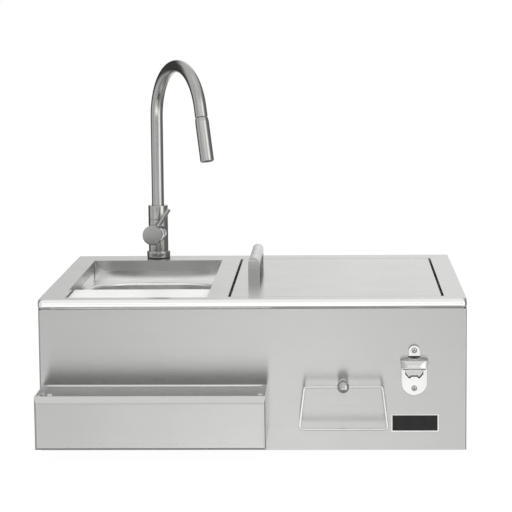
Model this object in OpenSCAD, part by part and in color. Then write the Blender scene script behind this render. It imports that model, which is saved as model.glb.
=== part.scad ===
// Refreshment center: an outdoor bar unit of stainless sheet with a drawn sink, a pull-down
// faucet, an insulated ice chest under a flush lid, a bottle rail, a towel ring and an opener.
// Origin: centre of the underside. +X is right, +Y is back, +Z is up. Millimetres.

/* [Housing] */
// Width of the deck
body_w = 762; // [756:1:820]
// Depth of the deck, nose to rear edge
body_d = 620; // [612:1:700]
// Height of the unit
body_h = 274; // [264:1:340]
// Thickness of the stainless sheet
sheet_t = 1.5; // [1.2:0.1:2]
// Radius of the rolled nose along the front of the deck
roll_r = 9.5; // [8:0.5:12]
// Radius of the bend along the deck's sides
deck_edge_r = 3; // [2:0.5:4]
// Radius of the housing's front corners
corner_r = 4; // [3:0.5:6]
// How far the front panel stands behind the nose
panel_setback = 9; // [6:0.5:12]
// How far the rear panel stands inside the deck's rear edge
rear_setback = 3; // [2.5:0.5:6]
// Width of the bent flanges that the panels are joined by
flange_w = 15; // [10:1:20]

/* [Sink] */
// Deck's left edge to the sink opening
sink_margin = 41; // [36:1:60]
// Width of the sink opening
sink_w = 260; // [252:1:266]
// Deck's front edge to the sink opening
sink_front = 28; // [26:1:32]
// Length of the sink opening, front to rear
sink_l = 518; // [490:1:522]
// Height of the tabs folded down round both openings
tab_h = 21; // [16:1:24]
// Depth of the ledge that the bowl hangs from
sink_depth = 40; // [34:1:60]
// Open slot at the rear corners of the sink's walls
wall_slot = 6; // [3:0.5:12]
// Ledge between the sink's walls and the bowl
bowl_ledge = 7; // [6:0.5:10]
// Length of the bowl
bowl_l = 436; // [400:1:450]
// Corner radius of the bowl
bowl_r = 80; // [50:1:90]
// Height of the bowl's floor above the unit's underside
bowl_floor_h = 84; // [80:1:104]
// Radius between the bowl's walls and floor
bowl_floor_r = 28; // [15:1:40]
// Radius of the bowl's rim
bowl_rim_r = 5; // [4:0.5:6]
// Thickness of the drawn bowl
bowl_t = 1.2; // [1:0.1:1.5]
// Outside diameter of the waste pipe
waste_d = 38.1; // [32:0.1:40]
// Diameter of the strainer's cup
strainer_d = 86; // [80:1:90]

/* [Cutting board] */
// Thickness of the board
board_t = 12; // [10:0.5:14]
// Length of the board, front to rear
board_l = 166; // [140:1:200]
// Gap between the board and the tabs on each side
board_gap = 1.5; // [1:0.5:3]
// Reach of the brackets under the board
bracket_w = 12; // [8:1:16]

/* [Ice chest] */
// Deck between the two openings
strip_w = 37; // [30:1:45]
// Chest opening to the deck's right edge
chest_margin = 39; // [34:1:60]
// Deck's front edge to the chest opening
chest_front = 32; // [28:1:40]
// Length of the chest opening, front to rear
chest_l = 532; // [500:1:540]
// Ledge that the lid's seal closes on
chest_ledge = 28; // [24:1:34]
// Height of the chest's floor above the unit's underside
chest_floor_h = 30; // [28:1:80]
// Corner radius of the chest
chest_r = 21; // [18:1:40]
// Radius between the chest's walls and floor
chest_floor_r = 14; // [10:1:17]
// Wall of foam round the chest
foam_t = 23; // [15:1:26]
// Outside diameter of the chest's drain pipe
chest_drain_d = 28; // [24:1:34]

/* [Lid] */
// Thickness of the lid at its skirt
lid_t = 28; // [24:1:32]
// Gap at the lid's left and right edges
lid_side_gap = 4; // [3.5:0.1:6]
// Gap at the lid's front and rear edges
lid_end_gap = 1; // [0.6:0.1:2]
// Distance of the hinge axis from the lid's top and right faces
hinge_in = 8; // [7.5:0.1:8.5]
// Diameter of the hinge pins
pin_d = 6; // [5:0.5:7]
// Height of the seal under the lid
gasket_t = 5.7; // [4:0.1:8]
// Width of the seal
gasket_w = 8; // [6:0.5:9]
// Width of the handle's bar
handle_w = 21; // [16:0.5:26]
// Height of the handle
handle_h = 49; // [40:1:55]
// Length of the handle
handle_l = 228; // [180:1:260]
// Thickness of the handle's bar and legs
handle_bar = 16; // [12:0.5:20]
// Handle's centre line from the lid's left edge
handle_in = 36.5; // [30:0.5:60]

/* [Faucet] */
// Faucet axis from the deck's rear edge
faucet_back = 32; // [31:0.5:34]
// Faucet axis from the middle of the sink, positive to the right
faucet_off = -3; // [-60:1:60]
// Diameter of the base ring
base_d = 47.5; // [45:0.5:56]
// Height of the base ring
base_h = 12.6; // [10:0.1:20]
// Thickness of the seal under the base ring
seal_t = 2.4; // [0.8:0.1:3]
// Diameter of the faucet body
faucet_d = 40; // [38:0.5:44]
// Height of the fixed body above the deck
fixed_h = 80; // [76:0.5:90]
// Height of the swivel sleeve
sleeve_h = 28.7; // [24:0.1:40]
// Diameter of the gooseneck tube
tube_d = 25; // [22:0.5:26]
// Wall of the gooseneck tube
tube_wall = 2.5; // [2:0.1:3]
// Height of the straight riser's end above the deck
riser_h = 288.5; // [220:0.5:320]
// Radius of the gooseneck's arc
arc_r = 107; // [80:1:120]
// Tilt of the outlet away from the vertical
outlet_tilt = 16; // [0:1:30]
// Straight length of tube at the outlet
outlet_l = 20; // [18:0.5:30]
// Turn of the spout from straight ahead, to the right
spout_turn = 28.7; // [0:0.1:60]
// Diameter of the spray head
spray_d = 27; // [25:0.5:32]
// Length of the spray head
spray_l = 86; // [70:1:100]
// Running gap between the outlet and the spray head
spray_gap = 1.5; // [0.6:0.1:3]

/* [Lever] */
// Height of the lever's hub above the deck
hub_h = 53; // [50:0.5:56]
// Turn of the hub from straight ahead, to the left
hub_turn = 7.7; // [0:0.1:20]
// Diameter of the hub's cap
hub_d = 40; // [39:0.5:42]
// Distance of the tilt pivot from the faucet axis
pivot_out = 38; // [37:0.5:42]
// Lean of the lever to the right of the vertical
lever_lean = 32; // [0:1:45]
// Length of the lever from the hub's centre
lever_l = 63; // [50:1:90]
// Diameter of the lever
lever_d = 8.5; // [7:0.5:10]

/* [Bottle rail] */
// Right end of the rail, to the right of the middle
rail_end = 27; // [-60:1:60]
// Depth of the rail, panel to front face
rail_d = 109; // [90:1:120]
// Height of the rail
rail_h = 95; // [80:1:110]
// Deck's left edge to the rail's left end
rail_in = 5; // [5:1:20]
// Height of the rail's floor above the unit's underside
rail_lift = 24; // [10:1:40]
// Height of the sloping lip along the rail's front
lip_h = 14; // [10:0.5:20]
// Lean of that lip
lip_lean = 3.5; // [2:0.5:6]

/* [Towel ring] */
// Ball's distance from the deck's right edge
ring_in = 219; // [210:1:235]
// Ball's height below the deck top
ring_drop = 152; // [130:1:156]
// Ball's distance from the front panel
ring_out = 40; // [34:1:50]
// Diameter of the ball
ball_d = 22; // [20:0.5:26]
// Diameter of the ring's wire
wire_d = 4; // [3:0.5:5]
// Width of the ring at the top
ring_top_w = 137; // [120:1:140]
// Width of the ring at the bottom
ring_bottom_w = 156; // [140:1:160]
// Height of the ring
ring_h = 76; // [60:1:90]
// Bend radius at the ring's upper corners
ring_top_bend = 5; // [4:0.5:10]
// Bend radius at the ring's lower corners
ring_bend = 8; // [6:0.5:14]

/* [Bottle opener] */
// Opener's centre from the deck's right edge
opener_in = 93; // [80:1:105]
// Opener's top below the deck top
opener_drop = 84; // [60:1:100]
// Width of the opener
opener_w = 47; // [42:1:52]
// Height of the opener
opener_h = 89.6; // [86:0.2:100]
// Thickness of the opener's plate
opener_t = 5; // [4:0.5:6]
// How far the hood stands out from the panel
hood_out = 24; // [20:1:30]

/* [Hidden] */
$fn = 64;

// Clearances: running fit on a radius, moving piece over its seat, and a cut's overrun
fit = 0.05;
seat_gap = 0.3;
cut = 1;

steel = [0.78, 0.78, 0.77];
dark_steel = [0.55, 0.55, 0.54];
polished = [0.86, 0.86, 0.85];
board_white = [0.93, 0.93, 0.91];
rubber_black = [0.12, 0.12, 0.12];
foam_cream = [0.93, 0.88, 0.72];
brass_yellow = [0.72, 0.6, 0.33];
nylon_grey = [0.62, 0.63, 0.64];

// Faces of the housing
left_x = -body_w/2;
front_y = -body_d/2;
back_y = body_d/2;
skirt_z = body_h - 2*roll_r;
under_z = body_h - sheet_t;
panel_y = front_y + panel_setback;
rear_y = back_y - rear_setback;
wrap_w = body_w - 2*sheet_t;
inside_y0 = panel_y + sheet_t;
inside_y1 = rear_y - 2*sheet_t;

// Sink opening, bowl and board
sink_x0 = left_x + sink_margin;
sink_x1 = sink_x0 + sink_w;
sink_cx = (sink_x0 + sink_x1)/2;
sink_y0 = front_y + sink_front;
sink_y1 = sink_y0 + sink_l;
sink_cy = (sink_y0 + sink_y1)/2;
ledge_z = body_h - sink_depth;
bowl_w = sink_w - 2*bowl_ledge;
bowl_z = bowl_floor_h;
bowl_depth = ledge_z - bowl_z;
flange_grow = 2*sheet_t + 3;
collar_flange = 8;
bracket_z = body_h - tab_h - 0.5;
board_z = bracket_z + seat_gap;
board_front_gap = 1;

// Waste parts under the bowl
strainer_lip = 13;
strainer_flange_d = strainer_d + 2*strainer_lip;
strainer_t = 1.5;
strainer_h = 40;
strainer_z = bowl_z - strainer_h;
outlet_d = waste_d + 12;
outlet_z = strainer_z - 8;
tail_z = 6;
// Raised band at the tailpiece's upper end
tail_band = 0.8;
tail_band_z = outlet_z - 6.5;

// Chest opening and lid
chest_x0 = sink_x1 + strip_w;
chest_x1 = -left_x - chest_margin;
chest_w = chest_x1 - chest_x0;
chest_cx = (chest_x0 + chest_x1)/2;
chest_y0 = front_y + chest_front;
chest_y1 = chest_y0 + chest_l;
chest_cy = (chest_y0 + chest_y1)/2;
seal_z = body_h - lid_t - seat_gap - gasket_t;
liner_w = chest_w - 2*chest_ledge;
liner_l = chest_l - 2*chest_ledge;
liner_t = 1.2;
liner_rim_r = 4;
liner_z = chest_floor_h;
chest_depth = seal_z - liner_z;
lid_w = chest_w - 2*lid_side_gap;
lid_l = chest_l - 2*lid_end_gap;
lid_z = body_h - lid_t;
lid_edge_r = 2;
lid_pan_t = 1;
lid_plug_h = 9;
lid_plug_gap = 12;
hinge_x = chest_cx + lid_w/2 - hinge_in;
hinge_z = body_h - hinge_in;
bush_d = pin_d + 4;
bush_l = 8;
handle_x = chest_cx - lid_w/2 + handle_in;
handle_y = chest_cy + 9;
drain_nut_d = chest_drain_d + 16;
// Plain end of the chest's drain pipe, below its thread
drain_end_d = chest_drain_d - 2.6;
drain_end_z = liner_z - 10;

// Faucet heights and centres
faucet_x = sink_cx + faucet_off;
faucet_y = back_y - faucet_back;
ring_z = body_h + seal_t;
body_z = ring_z + base_h;
fixed_z = body_h + fixed_h;
sleeve_z = fixed_z + seat_gap;
sleeve_top = sleeve_z + sleeve_h;
spring_z = body_h + riser_h;
swivel_d = 30;
swivel_h = 18;
tube_in = tube_d - 2*tube_wall;
shank_d = 32;
shank_l = 75;
hub_z = body_h + hub_h;

// Lever hub, measured out from the faucet axis
boss_d = hub_d - 2;
boss_out = pivot_out - 10.5;
dome_r = hub_d/2 - 3;
cup_r = dome_r + 0.4;
cap_back = pivot_out - 2;
cap_front = pivot_out + 22;
cartridge_d = 30;
stem_d = 12;
tilt_pin_d = 5;
rod_out = pivot_out + 12;
rod_root = hub_d/2 - 3.5;

// Spray head, measured down from the arc's end
dock_l = 12;
dock_t = 0.5;
spigot_l = 10;
head_z0 = outlet_l + spray_gap;
spigot_z = head_z0 - spigot_l;
spigot_d = tube_in - 2*dock_t - 2*seat_gap;
hose_d = 10;
hose_l = 35;

// Rail, ring and opener places
rail_x0 = left_x + rail_in;
rail_w = rail_end - rail_x0;
rail_z = rail_lift;
rail_top = rail_z + rail_h;
rail_y = panel_y - rail_d;
rail_r = 5;
rail_screw_in = 13;
rail_screw_drop = 20;
ring_x = -left_x - ring_in;
ring_z_pos = body_h - ring_drop;
ring_y = panel_y - ring_out;
post_d = 12;
stud_d = 6;
opener_x = -left_x - opener_in;
opener_top = body_h - opener_drop;
opener_screw_z = [opener_top - 9, opener_top - opener_h + 12.5];
opener_screw_d = 4.2;
rear_screw_in = 28;
rear_screw_z = [rear_screw_in, skirt_z/2, skirt_z - rear_screw_in];

// Rectangle w along X and l along Y, centred, with round corners
module round_rect(w, l, r) {
    square([w - 2*r, l], center = true);
    square([w, l - 2*r], center = true);
    for (x = [-1, 1], y = [-1, 1])
        translate([x*(w/2 - r), y*(l/2 - r)]) circle(r = r);
}

// Quarter of a ring between two radii, in the quadrant named by the signs sx and sy
module quarter_ring(r_out, r_in, sx, sy) {
    intersection() {
        difference() {
            circle(r = r_out);
            circle(r = r_in);
        }
        translate([sx > 0 ? 0 : -r_out, sy > 0 ? 0 : -r_out]) square(r_out);
    }
}

// Carries a profile round a rectangle with round corners: the profile's x is measured
// outwards from the centres of the corners, its y is height
module around(w, l, r) {
    hx = w/2 - r;
    hy = l/2 - r;
    for (s = [0, 180]) rotate([0, 0, s]) {
        translate([hx, hy, 0]) rotate([90, 0, 0]) linear_extrude(height = 2*hy) children();
        translate([-hx, hy, 0]) rotate([90, 0, 90]) linear_extrude(height = 2*hx) children();
    }
    for (k = [0:3])
        rotate([0, 0, 90*k])
            translate(k % 2 == 0 ? [hx, hy, 0] : [hy, hx, 0]) rotate_extrude(angle = 90) children();
}

// Drawn pan: rolled rim at height 0, straight wall, floor fillet and flat floor
module drawn_pan(w, l, r, depth, rim_r, floor_r, t) {
    hx = w/2 - r;
    hy = l/2 - r;
    around(w, l, r) {
        translate([r + rim_r, -rim_r]) quarter_ring(rim_r, rim_r - t, -1, 1);
        translate([r, floor_r - depth]) square([t, depth - floor_r - rim_r]);
        translate([r - floor_r, floor_r - depth]) quarter_ring(floor_r + t, floor_r, 1, -1);
        translate([0, -depth - t]) square([r - floor_r, t]);
    }
    translate([-hx, -hy, -depth - t]) cube([2*hx, 2*hy, t]);
}

// The space that a drawn pan fills on its outside, from the floor up to a height
module pan_space(w, l, r, depth, floor_r, top) {
    translate([0, 0, floor_r - depth]) linear_extrude(height = depth - floor_r + top) round_rect(w, l, r);
    around(w, l, r) {
        intersection() {
            translate([r - floor_r, floor_r - depth]) circle(r = floor_r);
            translate([r - floor_r, -depth]) square(floor_r);
        }
        translate([0, -depth]) square([r - floor_r, floor_r]);
    }
    translate([r - w/2, r - l/2, -depth]) cube([w - 2*r, l - 2*r, floor_r]);
}

// Flat ring between two rectangles
module frame_plate(w_out, l_out, w_in, l_in, h) {
    linear_extrude(height = h) difference() {
        square([w_out, l_out], center = true);
        square([w_in, l_in], center = true);
    }
}

// Tube standing on z, with outside diameter d and bore b
module tube(d, b, h) {
    difference() {
        cylinder(d = d, h = h);
        translate([0, 0, -cut]) cylinder(d = b, h = h + 2*cut);
    }
}

// Dome-headed screw: head on z 0 pointing up, shank pointing down, cross recess in the head
module dome_screw(head_d, head_h, shank_d, shank_l) {
    dome_r = (head_d*head_d/4 + head_h*head_h)/(2*head_h);
    difference() {
        intersection() {
            translate([0, 0, head_h - dome_r]) sphere(r = dome_r);
            cylinder(d = head_d, h = head_h);
        }
        for (a = [0, 90]) rotate([0, 0, a])
            translate([-head_d*0.28, -head_d*0.05, head_h*0.45]) cube([head_d*0.56, head_d*0.1, head_h]);
    }
    translate([0, 0, -shank_l]) cylinder(d = shank_d, h = shank_l);
}

// Places children on the front panel, with their z pointing out of the panel
module on_panel(x, z, out = 0) {
    translate([x, panel_y - out, z]) rotate([90, 0, 0]) children();
}

// Tab folded down from the edge of an opening, its ends mitred: runs along +X from the origin,
// hangs from z 0, is t thick towards +Y and is rooted in the sheet above it
module mitred_tab(len, h, t) {
    translate([0, t, 0]) rotate([90, 0, 0]) linear_extrude(height = t)
        polygon([[0, t/2], [0, 0], [h, -h], [len - h, -h], [len, 0], [len, t/2]]);
}

// The four tabs round an opening
module opening_tabs(cx, cy, w, l) {
    translate([cx, cy, under_z]) for (a = [0, 90, 180, 270]) {
        span = a % 180 == 0 ? w : l;
        reach = a % 180 == 0 ? l : w;
        rotate([0, 0, a]) translate([-span/2, reach/2, 0]) mitred_tab(span, tab_h - sheet_t, sheet_t);
    }
}

module deck_solid(grow, bottom) {
    r = roll_r - grow;
    translate([roll_r - body_w/2, front_y + roll_r, body_h - roll_r]) {
        rotate([0, 90, 0]) cylinder(r = r, h = body_w - 2*roll_r);
        for (x = [0, body_w - 2*roll_r]) translate([x, 0, 0]) sphere(r = r);
    }
    // Cross-section of the deck's sides and top, carried from the roll to the rear edge
    w = body_w - 2*grow;
    e = deck_edge_r - grow;
    translate([0, back_y - grow, 0]) rotate([90, 0, 0]) linear_extrude(height = body_d - roll_r - grow) {
        translate([-w/2, bottom]) square([w, body_h - grow - e - bottom]);
        translate([e - w/2, bottom]) square([w - 2*e, body_h - grow - bottom]);
        for (x = [-1, 1]) translate([x*(w/2 - e), body_h - grow - e]) circle(r = e);
    }
}

module deck() {
    color(steel) difference() {
        union() {
            difference() {
                deck_solid(0, skirt_z);
                difference() {
                    deck_solid(sheet_t, skirt_z - cut);
                    // Keeps the underside of the roll closed
                    translate([left_x, front_y, skirt_z - cut]) cube([body_w, roll_r, cut + sheet_t]);
                }
            }
            opening_tabs(sink_cx, sink_cy, sink_w, sink_l);
            opening_tabs(chest_cx, chest_cy, chest_w, chest_l);
        }
        translate([sink_x0, sink_y0, under_z - cut]) cube([sink_w, sink_l, sheet_t + 2*cut]);
        translate([chest_x0, chest_y0, under_z - cut]) cube([chest_w, chest_l, sheet_t + 2*cut]);
        translate([faucet_x, faucet_y, under_z - cut]) cylinder(d = shank_d + 2, h = sheet_t + 2*cut);
        hinge_bores();
    }
}

// Bores for the lid's pins through the tabs and walls at both ends of the chest opening
module hinge_bores() {
    translate([hinge_x, chest_y1 + 3*sheet_t, hinge_z]) rotate([90, 0, 0])
        cylinder(d = pin_d + 2*fit, h = chest_l + 6*sheet_t);
}

module housing_wrap() {
    color(steel) difference() {
        union() {
            linear_extrude(height = skirt_z) difference() {
                wrap_outline(0);
                wrap_outline(sheet_t);
            }
            // Return flanges that the rear panel is screwed to
            for (x = [left_x, -left_x - flange_w])
                translate([x, inside_y1, 0]) cube([flange_w, sheet_t, skirt_z]);
        }
        rail_screw_places() translate([0, 0, -cut]) cylinder(d = 4.4, h = 10);
        on_panel(ring_x, ring_z_pos, -5) cylinder(d = stud_d + 0.2, h = 10);
        for (z = opener_screw_z) on_panel(opener_x, z, -5) cylinder(d = opener_screw_d + 0.2, h = 10);
        rear_screw_places() cylinder(d = 4.2, h = 12, center = true);
    }
}

// Plan of the housing's front and sides, open at the rear
module wrap_outline(grow) {
    y0 = panel_y + grow;
    y1 = grow > 0 ? rear_y + cut : rear_y - sheet_t;
    w = body_w - 2*grow;
    r = corner_r - grow;
    translate([-w/2, y0 + r]) square([w, y1 - y0 - r]);
    translate([r - w/2, y0]) square([w - 2*r, r + cut]);
    for (x = [-1, 1]) translate([x*(w/2 - r), y0 + r]) circle(r = r);
}

module rear_screw_places() {
    for (x = [-1, 1], z = rear_screw_z)
        translate([x*(body_w/2 - flange_w/2 - sheet_t), rear_y, z]) rotate([-90, 0, 0]) children();
}

module rear_panel() {
    service_w = 180;
    service_h = 120;
    service_z = 30;
    color(dark_steel) difference() {
        translate([-wrap_w/2, rear_y - sheet_t, 0]) cube([wrap_w, sheet_t, skirt_z]);
        // Service opening behind the sink for the supply and waste pipes
        translate([sink_cx, rear_y + cut, service_z + service_h/2]) rotate([90, 0, 0])
            linear_extrude(height = sheet_t + 2*cut) round_rect(service_w, service_h, 10);
        rear_screw_places() cylinder(d = 4.2, h = 12, center = true);
    }
}

module rear_screws() {
    color(polished) rear_screw_places() dome_screw(8, 2.4, 4, 8);
}

module bottom_pan() {
    inner_w = wrap_w;
    inner_l = inside_y1 - inside_y0;
    access = 200;
    supply_hole_d = 40;
    color(dark_steel) translate([0, (inside_y0 + inside_y1)/2, 0]) difference() {
        union() {
            translate([-inner_w/2, -inner_l/2, 0]) cube([inner_w, inner_l, sheet_t]);
            difference() {
                linear_extrude(height = flange_w) bottom_outline(inner_w, inner_l);
                translate([0, 0, -cut]) linear_extrude(height = flange_w + 2*cut)
                    square([inner_w - 2*sheet_t, inner_l - 2*sheet_t], center = true);
            }
        }
        translate([sink_cx, sink_cy - (inside_y0 + inside_y1)/2, -cut])
            linear_extrude(height = sheet_t + 2*cut) round_rect(access, access, 12);
        translate([chest_cx, chest_cy - (inside_y0 + inside_y1)/2, -cut])
            cylinder(d = chest_drain_d + 8, h = sheet_t + 2*cut);
        // Hole that the faucet's supply hoses come up through
        translate([faucet_x, faucet_y - (inside_y0 + inside_y1)/2, -cut])
            cylinder(d = supply_hole_d, h = sheet_t + 2*cut);
        // Room for the bend at the housing's front corners
        for (x = [-1, 1]) translate([x*inner_w/2, -inner_l/2, -cut]) cylinder(r = corner_r, h = flange_w + 2*cut);
    }
}

module bottom_outline(w, l) {
    square([w, l], center = true);
}

module divider_panel() {
    x = (sink_x1 + chest_x0)/2;
    z0 = sheet_t;
    color(dark_steel) {
        translate([x - sheet_t/2, inside_y0 + sheet_t, z0])
            cube([sheet_t, inside_y1 - inside_y0 - 2*sheet_t, under_z - z0]);
        translate([x - sheet_t/2 - flange_w + 1, inside_y0 + sheet_t, z0])
            cube([flange_w, inside_y1 - inside_y0 - 2*sheet_t, sheet_t]);
    }
}

// Four walls round an opening, outside its tabs, with a flange against the underside of the deck
module collar(w, l, z0) {
    translate([0, 0, z0]) frame_plate(w + 4*sheet_t, l + 4*sheet_t, w + 2*sheet_t, l + 2*sheet_t, under_z - z0);
    translate([0, 0, under_z - sheet_t])
        frame_plate(w + 4*sheet_t + 2*collar_flange, l + 4*sheet_t, w + 2*sheet_t, l + 2*sheet_t, sheet_t);
}

module sink_collar() {
    inner_w = sink_w + 2*sheet_t;
    color(steel) translate([sink_cx, sink_cy, 0]) difference() {
        collar(sink_w, sink_l, ledge_z);
        for (x = [-1, 1]) translate([x*(inner_w + sheet_t)/2, sink_l/2 + sheet_t - wall_slot/2, ledge_z - cut])
            linear_extrude(height = under_z - sheet_t - ledge_z + cut)
                square([sheet_t + 2*cut, wall_slot], center = true);
    }
}

module sink_bowl() {
    flange_w2 = sink_w + 2*flange_grow;
    flange_l2 = sink_l + 2*flange_grow;
    color(polished) translate([sink_cx, sink_cy, ledge_z]) difference() {
        union() {
            drawn_pan(bowl_w, bowl_l, bowl_r, bowl_depth, bowl_rim_r, bowl_floor_r, bowl_t);
            translate([0, 0, -bowl_t]) linear_extrude(height = bowl_t) difference() {
                square([flange_w2, flange_l2], center = true);
                round_rect(bowl_w + 2*bowl_rim_r, bowl_l + 2*bowl_rim_r, bowl_r + bowl_rim_r);
            }
        }
        translate([0, 0, -bowl_depth - bowl_t - cut]) cylinder(d = strainer_d + 1, h = bowl_t + 2*cut);
    }
}

module board_brackets() {
    len = board_l - 3;
    leg = 14;
    color(steel) for (s = [-1, 1])
        translate([sink_cx + s*(sink_w/2 + sheet_t), sink_y0 + board_front_gap, bracket_z]) mirror([s > 0 ? 1 : 0, 0, 0]) {
            translate([0, 0, -sheet_t]) cube([bracket_w + sheet_t, len, sheet_t]);
            translate([0, 0, -leg]) cube([sheet_t, len, leg]);
        }
}

module cutting_board() {
    w = sink_w - 2*board_gap;
    color(board_white) translate([sink_cx, sink_y0 + board_front_gap + board_l/2, board_z])
        linear_extrude(height = board_t) round_rect(w, board_l, 2);
}

module drain_flange() {
    color(polished) translate([sink_cx, sink_cy, 0]) rotate_extrude() {
        translate([strainer_d/2 - strainer_t, bowl_z]) square([strainer_lip + strainer_t, strainer_t]);
        translate([strainer_d/2 - strainer_t, strainer_z]) square([strainer_t, strainer_h]);
        translate([waste_d/2, strainer_z]) square([strainer_d/2 - waste_d/2, strainer_t]);
        translate([waste_d/2, outlet_z]) square([outlet_d/2 - waste_d/2, strainer_z - outlet_z]);
    }
}

module drain_gasket() {
    gasket_h = 3;
    color(rubber_black) translate([sink_cx, sink_cy, bowl_z - bowl_t - gasket_h])
        tube(strainer_flange_d - 2, strainer_d, gasket_h);
}

module drain_locknut() {
    nut_h = 9;
    grips = 12;
    color(brass_yellow) translate([sink_cx, sink_cy, bowl_z - bowl_t - 3 - nut_h]) difference() {
        tube(strainer_flange_d - 4, strainer_d, nut_h);
        for (k = [0:grips - 1]) rotate([0, 0, 360*k/grips])
            translate([(strainer_flange_d - 4)/2 + 2, 0, -cut]) cylinder(d = 10, h = nut_h + 2*cut);
    }
}

module tail_nut() {
    nut_h = 13;
    lip = 4;
    color(brass_yellow) translate([sink_cx, sink_cy, outlet_z - strainer_t - lip]) rotate_extrude() {
        translate([waste_d/2 + tail_band, 0]) square([outlet_d/2 + 4 - waste_d/2 - tail_band, lip]);
        translate([outlet_d/2, lip]) square([4, nut_h - lip]);
    }
}

module drain_tailpiece() {
    wall = 1.5;
    color(polished) translate([sink_cx, sink_cy, 0]) rotate_extrude() {
        translate([waste_d/2 - wall, tail_z]) square([wall, outlet_z - tail_z]);
        translate([waste_d/2 - wall, tail_band_z]) square([wall + tail_band, outlet_z - tail_band_z]);
        translate([waste_d/2 - wall, outlet_z - strainer_t]) square([outlet_d/2 - waste_d/2 + wall, strainer_t]);
    }
}

module strainer_basket() {
    wall = 1.2;
    cup_d = strainer_d - 2*strainer_t - 4;
    rim_z = bowl_z + strainer_t + seat_gap;
    cup_h = 22;
    knob_z = rim_z + 12;
    color(polished) translate([sink_cx, sink_cy, 0]) {
        difference() {
            rotate_extrude() {
                translate([cup_d/2 - wall, rim_z]) square([wall + 5, wall]);
                translate([cup_d/2 - wall, rim_z - cup_h]) square([wall, cup_h]);
                translate([0, rim_z - cup_h]) square([cup_d/2, wall]);
            }
            for (ring = [[cup_d*0.355, 12], [cup_d*0.23, 8]], k = [0:ring[1] - 1])
                rotate([0, 0, 360*k/ring[1]]) translate([ring[0], 0, rim_z - cup_h - cut])
                    cylinder(d = 5, h = wall + 2*cut);
        }
        translate([0, 0, rim_z - cup_h + wall]) cylinder(d = 6, h = knob_z - rim_z + cup_h - wall);
        translate([0, 0, knob_z]) intersection() {
            translate([0, 0, -3]) sphere(r = 9);
            cylinder(d = 15, h = 8);
        }
    }
}

module basket_stopper() {
    r = 24;
    h = 4;
    cup_floor_z = bowl_z + strainer_t + seat_gap - 22;
    color(rubber_black) translate([sink_cx, sink_cy, cup_floor_z - h]) rotate_extrude()
        polygon([[0, 0], [r - 3, 0], [r, h/2], [r, h], [0, h]]);
}

module chest_collar() {
    color(steel) difference() {
        translate([chest_cx, chest_cy, 0]) collar(chest_w, chest_l, seal_z);
        hinge_bores();
    }
}

module chest_liner() {
    color(steel) translate([chest_cx, chest_cy, seal_z]) difference() {
        union() {
            drawn_pan(liner_w, liner_l, chest_r, chest_depth, liner_rim_r, chest_floor_r, liner_t);
            translate([0, 0, -liner_t]) linear_extrude(height = liner_t) difference() {
                square([chest_w + 2*flange_grow, chest_l + 2*flange_grow], center = true);
                round_rect(liner_w + 2*liner_rim_r, liner_l + 2*liner_rim_r, chest_r + liner_rim_r);
            }
        }
        translate([0, 0, -chest_depth - liner_t - cut]) cylinder(d = chest_drain_d, h = liner_t + 2*cut);
    }
}

module chest_insulation() {
    rim_room = liner_rim_r + 1;
    color(foam_cream) translate([chest_cx, chest_cy, seal_z]) difference() {
        translate([-liner_w/2 - foam_t, -liner_l/2 - foam_t, sheet_t - seal_z])
            cube([liner_w + 2*foam_t, liner_l + 2*foam_t, seal_z - sheet_t - liner_t]);
        pan_space(liner_w + 2*liner_t, liner_l + 2*liner_t, chest_r + liner_t, chest_depth + liner_t,
            chest_floor_r + liner_t, cut);
        // Room for the bend of the rim
        translate([0, 0, -rim_room]) linear_extrude(height = rim_room + cut)
            round_rect(liner_w + 2*rim_room, liner_l + 2*rim_room, chest_r + rim_room);
        translate([0, 0, -seal_z]) cylinder(d = drain_nut_d + 6, h = liner_z);
    }
}

module chest_drain() {
    flange_d = chest_drain_d + 20;
    bore = chest_drain_d - 6;
    color(polished) translate([chest_cx, chest_cy, 0]) difference() {
        union() {
            translate([0, 0, liner_z]) cylinder(d = flange_d, h = 1.5);
            translate([0, 0, drain_end_z]) cylinder(d = chest_drain_d, h = liner_z - drain_end_z);
            translate([0, 0, 2]) cylinder(d = drain_end_d, h = drain_end_z - 2);
        }
        cylinder(d = bore, h = liner_z + 3);
    }
}

module chest_drain_nut() {
    color(brass_yellow) translate([chest_cx, chest_cy, liner_z - liner_t - 8]) difference() {
        cylinder(d = drain_nut_d, h = 8, $fn = 6);
        translate([0, 0, -cut]) cylinder(d = chest_drain_d, h = 8 + 2*cut);
    }
}

module chest_plug() {
    bore = chest_drain_d - 6;
    head_z = liner_z + 1.5 + seat_gap;
    color(rubber_black) translate([chest_cx, chest_cy, head_z]) {
        rotate_extrude() polygon([[0, -12], [bore/2 - 1, -12], [bore/2 - 0.4, 0], [bore/2 + 6, 0],
            [bore/2 + 6, 3], [bore/2 + 4, 5], [0, 5]]);
        translate([0, 0, 12]) rotate([90, 0, 0]) rotate_extrude() translate([8, 0]) circle(d = 3);
    }
}

module lid_gasket() {
    // The seal hangs from the lid and stops short of the hinge axis, so it lifts off cleanly
    x0 = chest_x0 + 7;
    x1 = hinge_x - 2;
    y0 = chest_y0 + 7;
    y1 = chest_y1 - 4;
    color(rubber_black) translate([(x0 + x1)/2, (y0 + y1)/2, seal_z + seat_gap])
        frame_plate(x1 - x0, y1 - y0, x1 - x0 - 2*gasket_w, y1 - y0 - 2*gasket_w, gasket_t);
}

// Places children at both ends of the hinge axis, z pointing inwards along the axis from the
// lid's end face
module hinge_ends() {
    for (s = [-1, 1])
        translate([hinge_x, chest_cy + s*lid_l/2, hinge_z]) rotate([s > 0 ? 90 : -90, 0, 0]) children();
}

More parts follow.
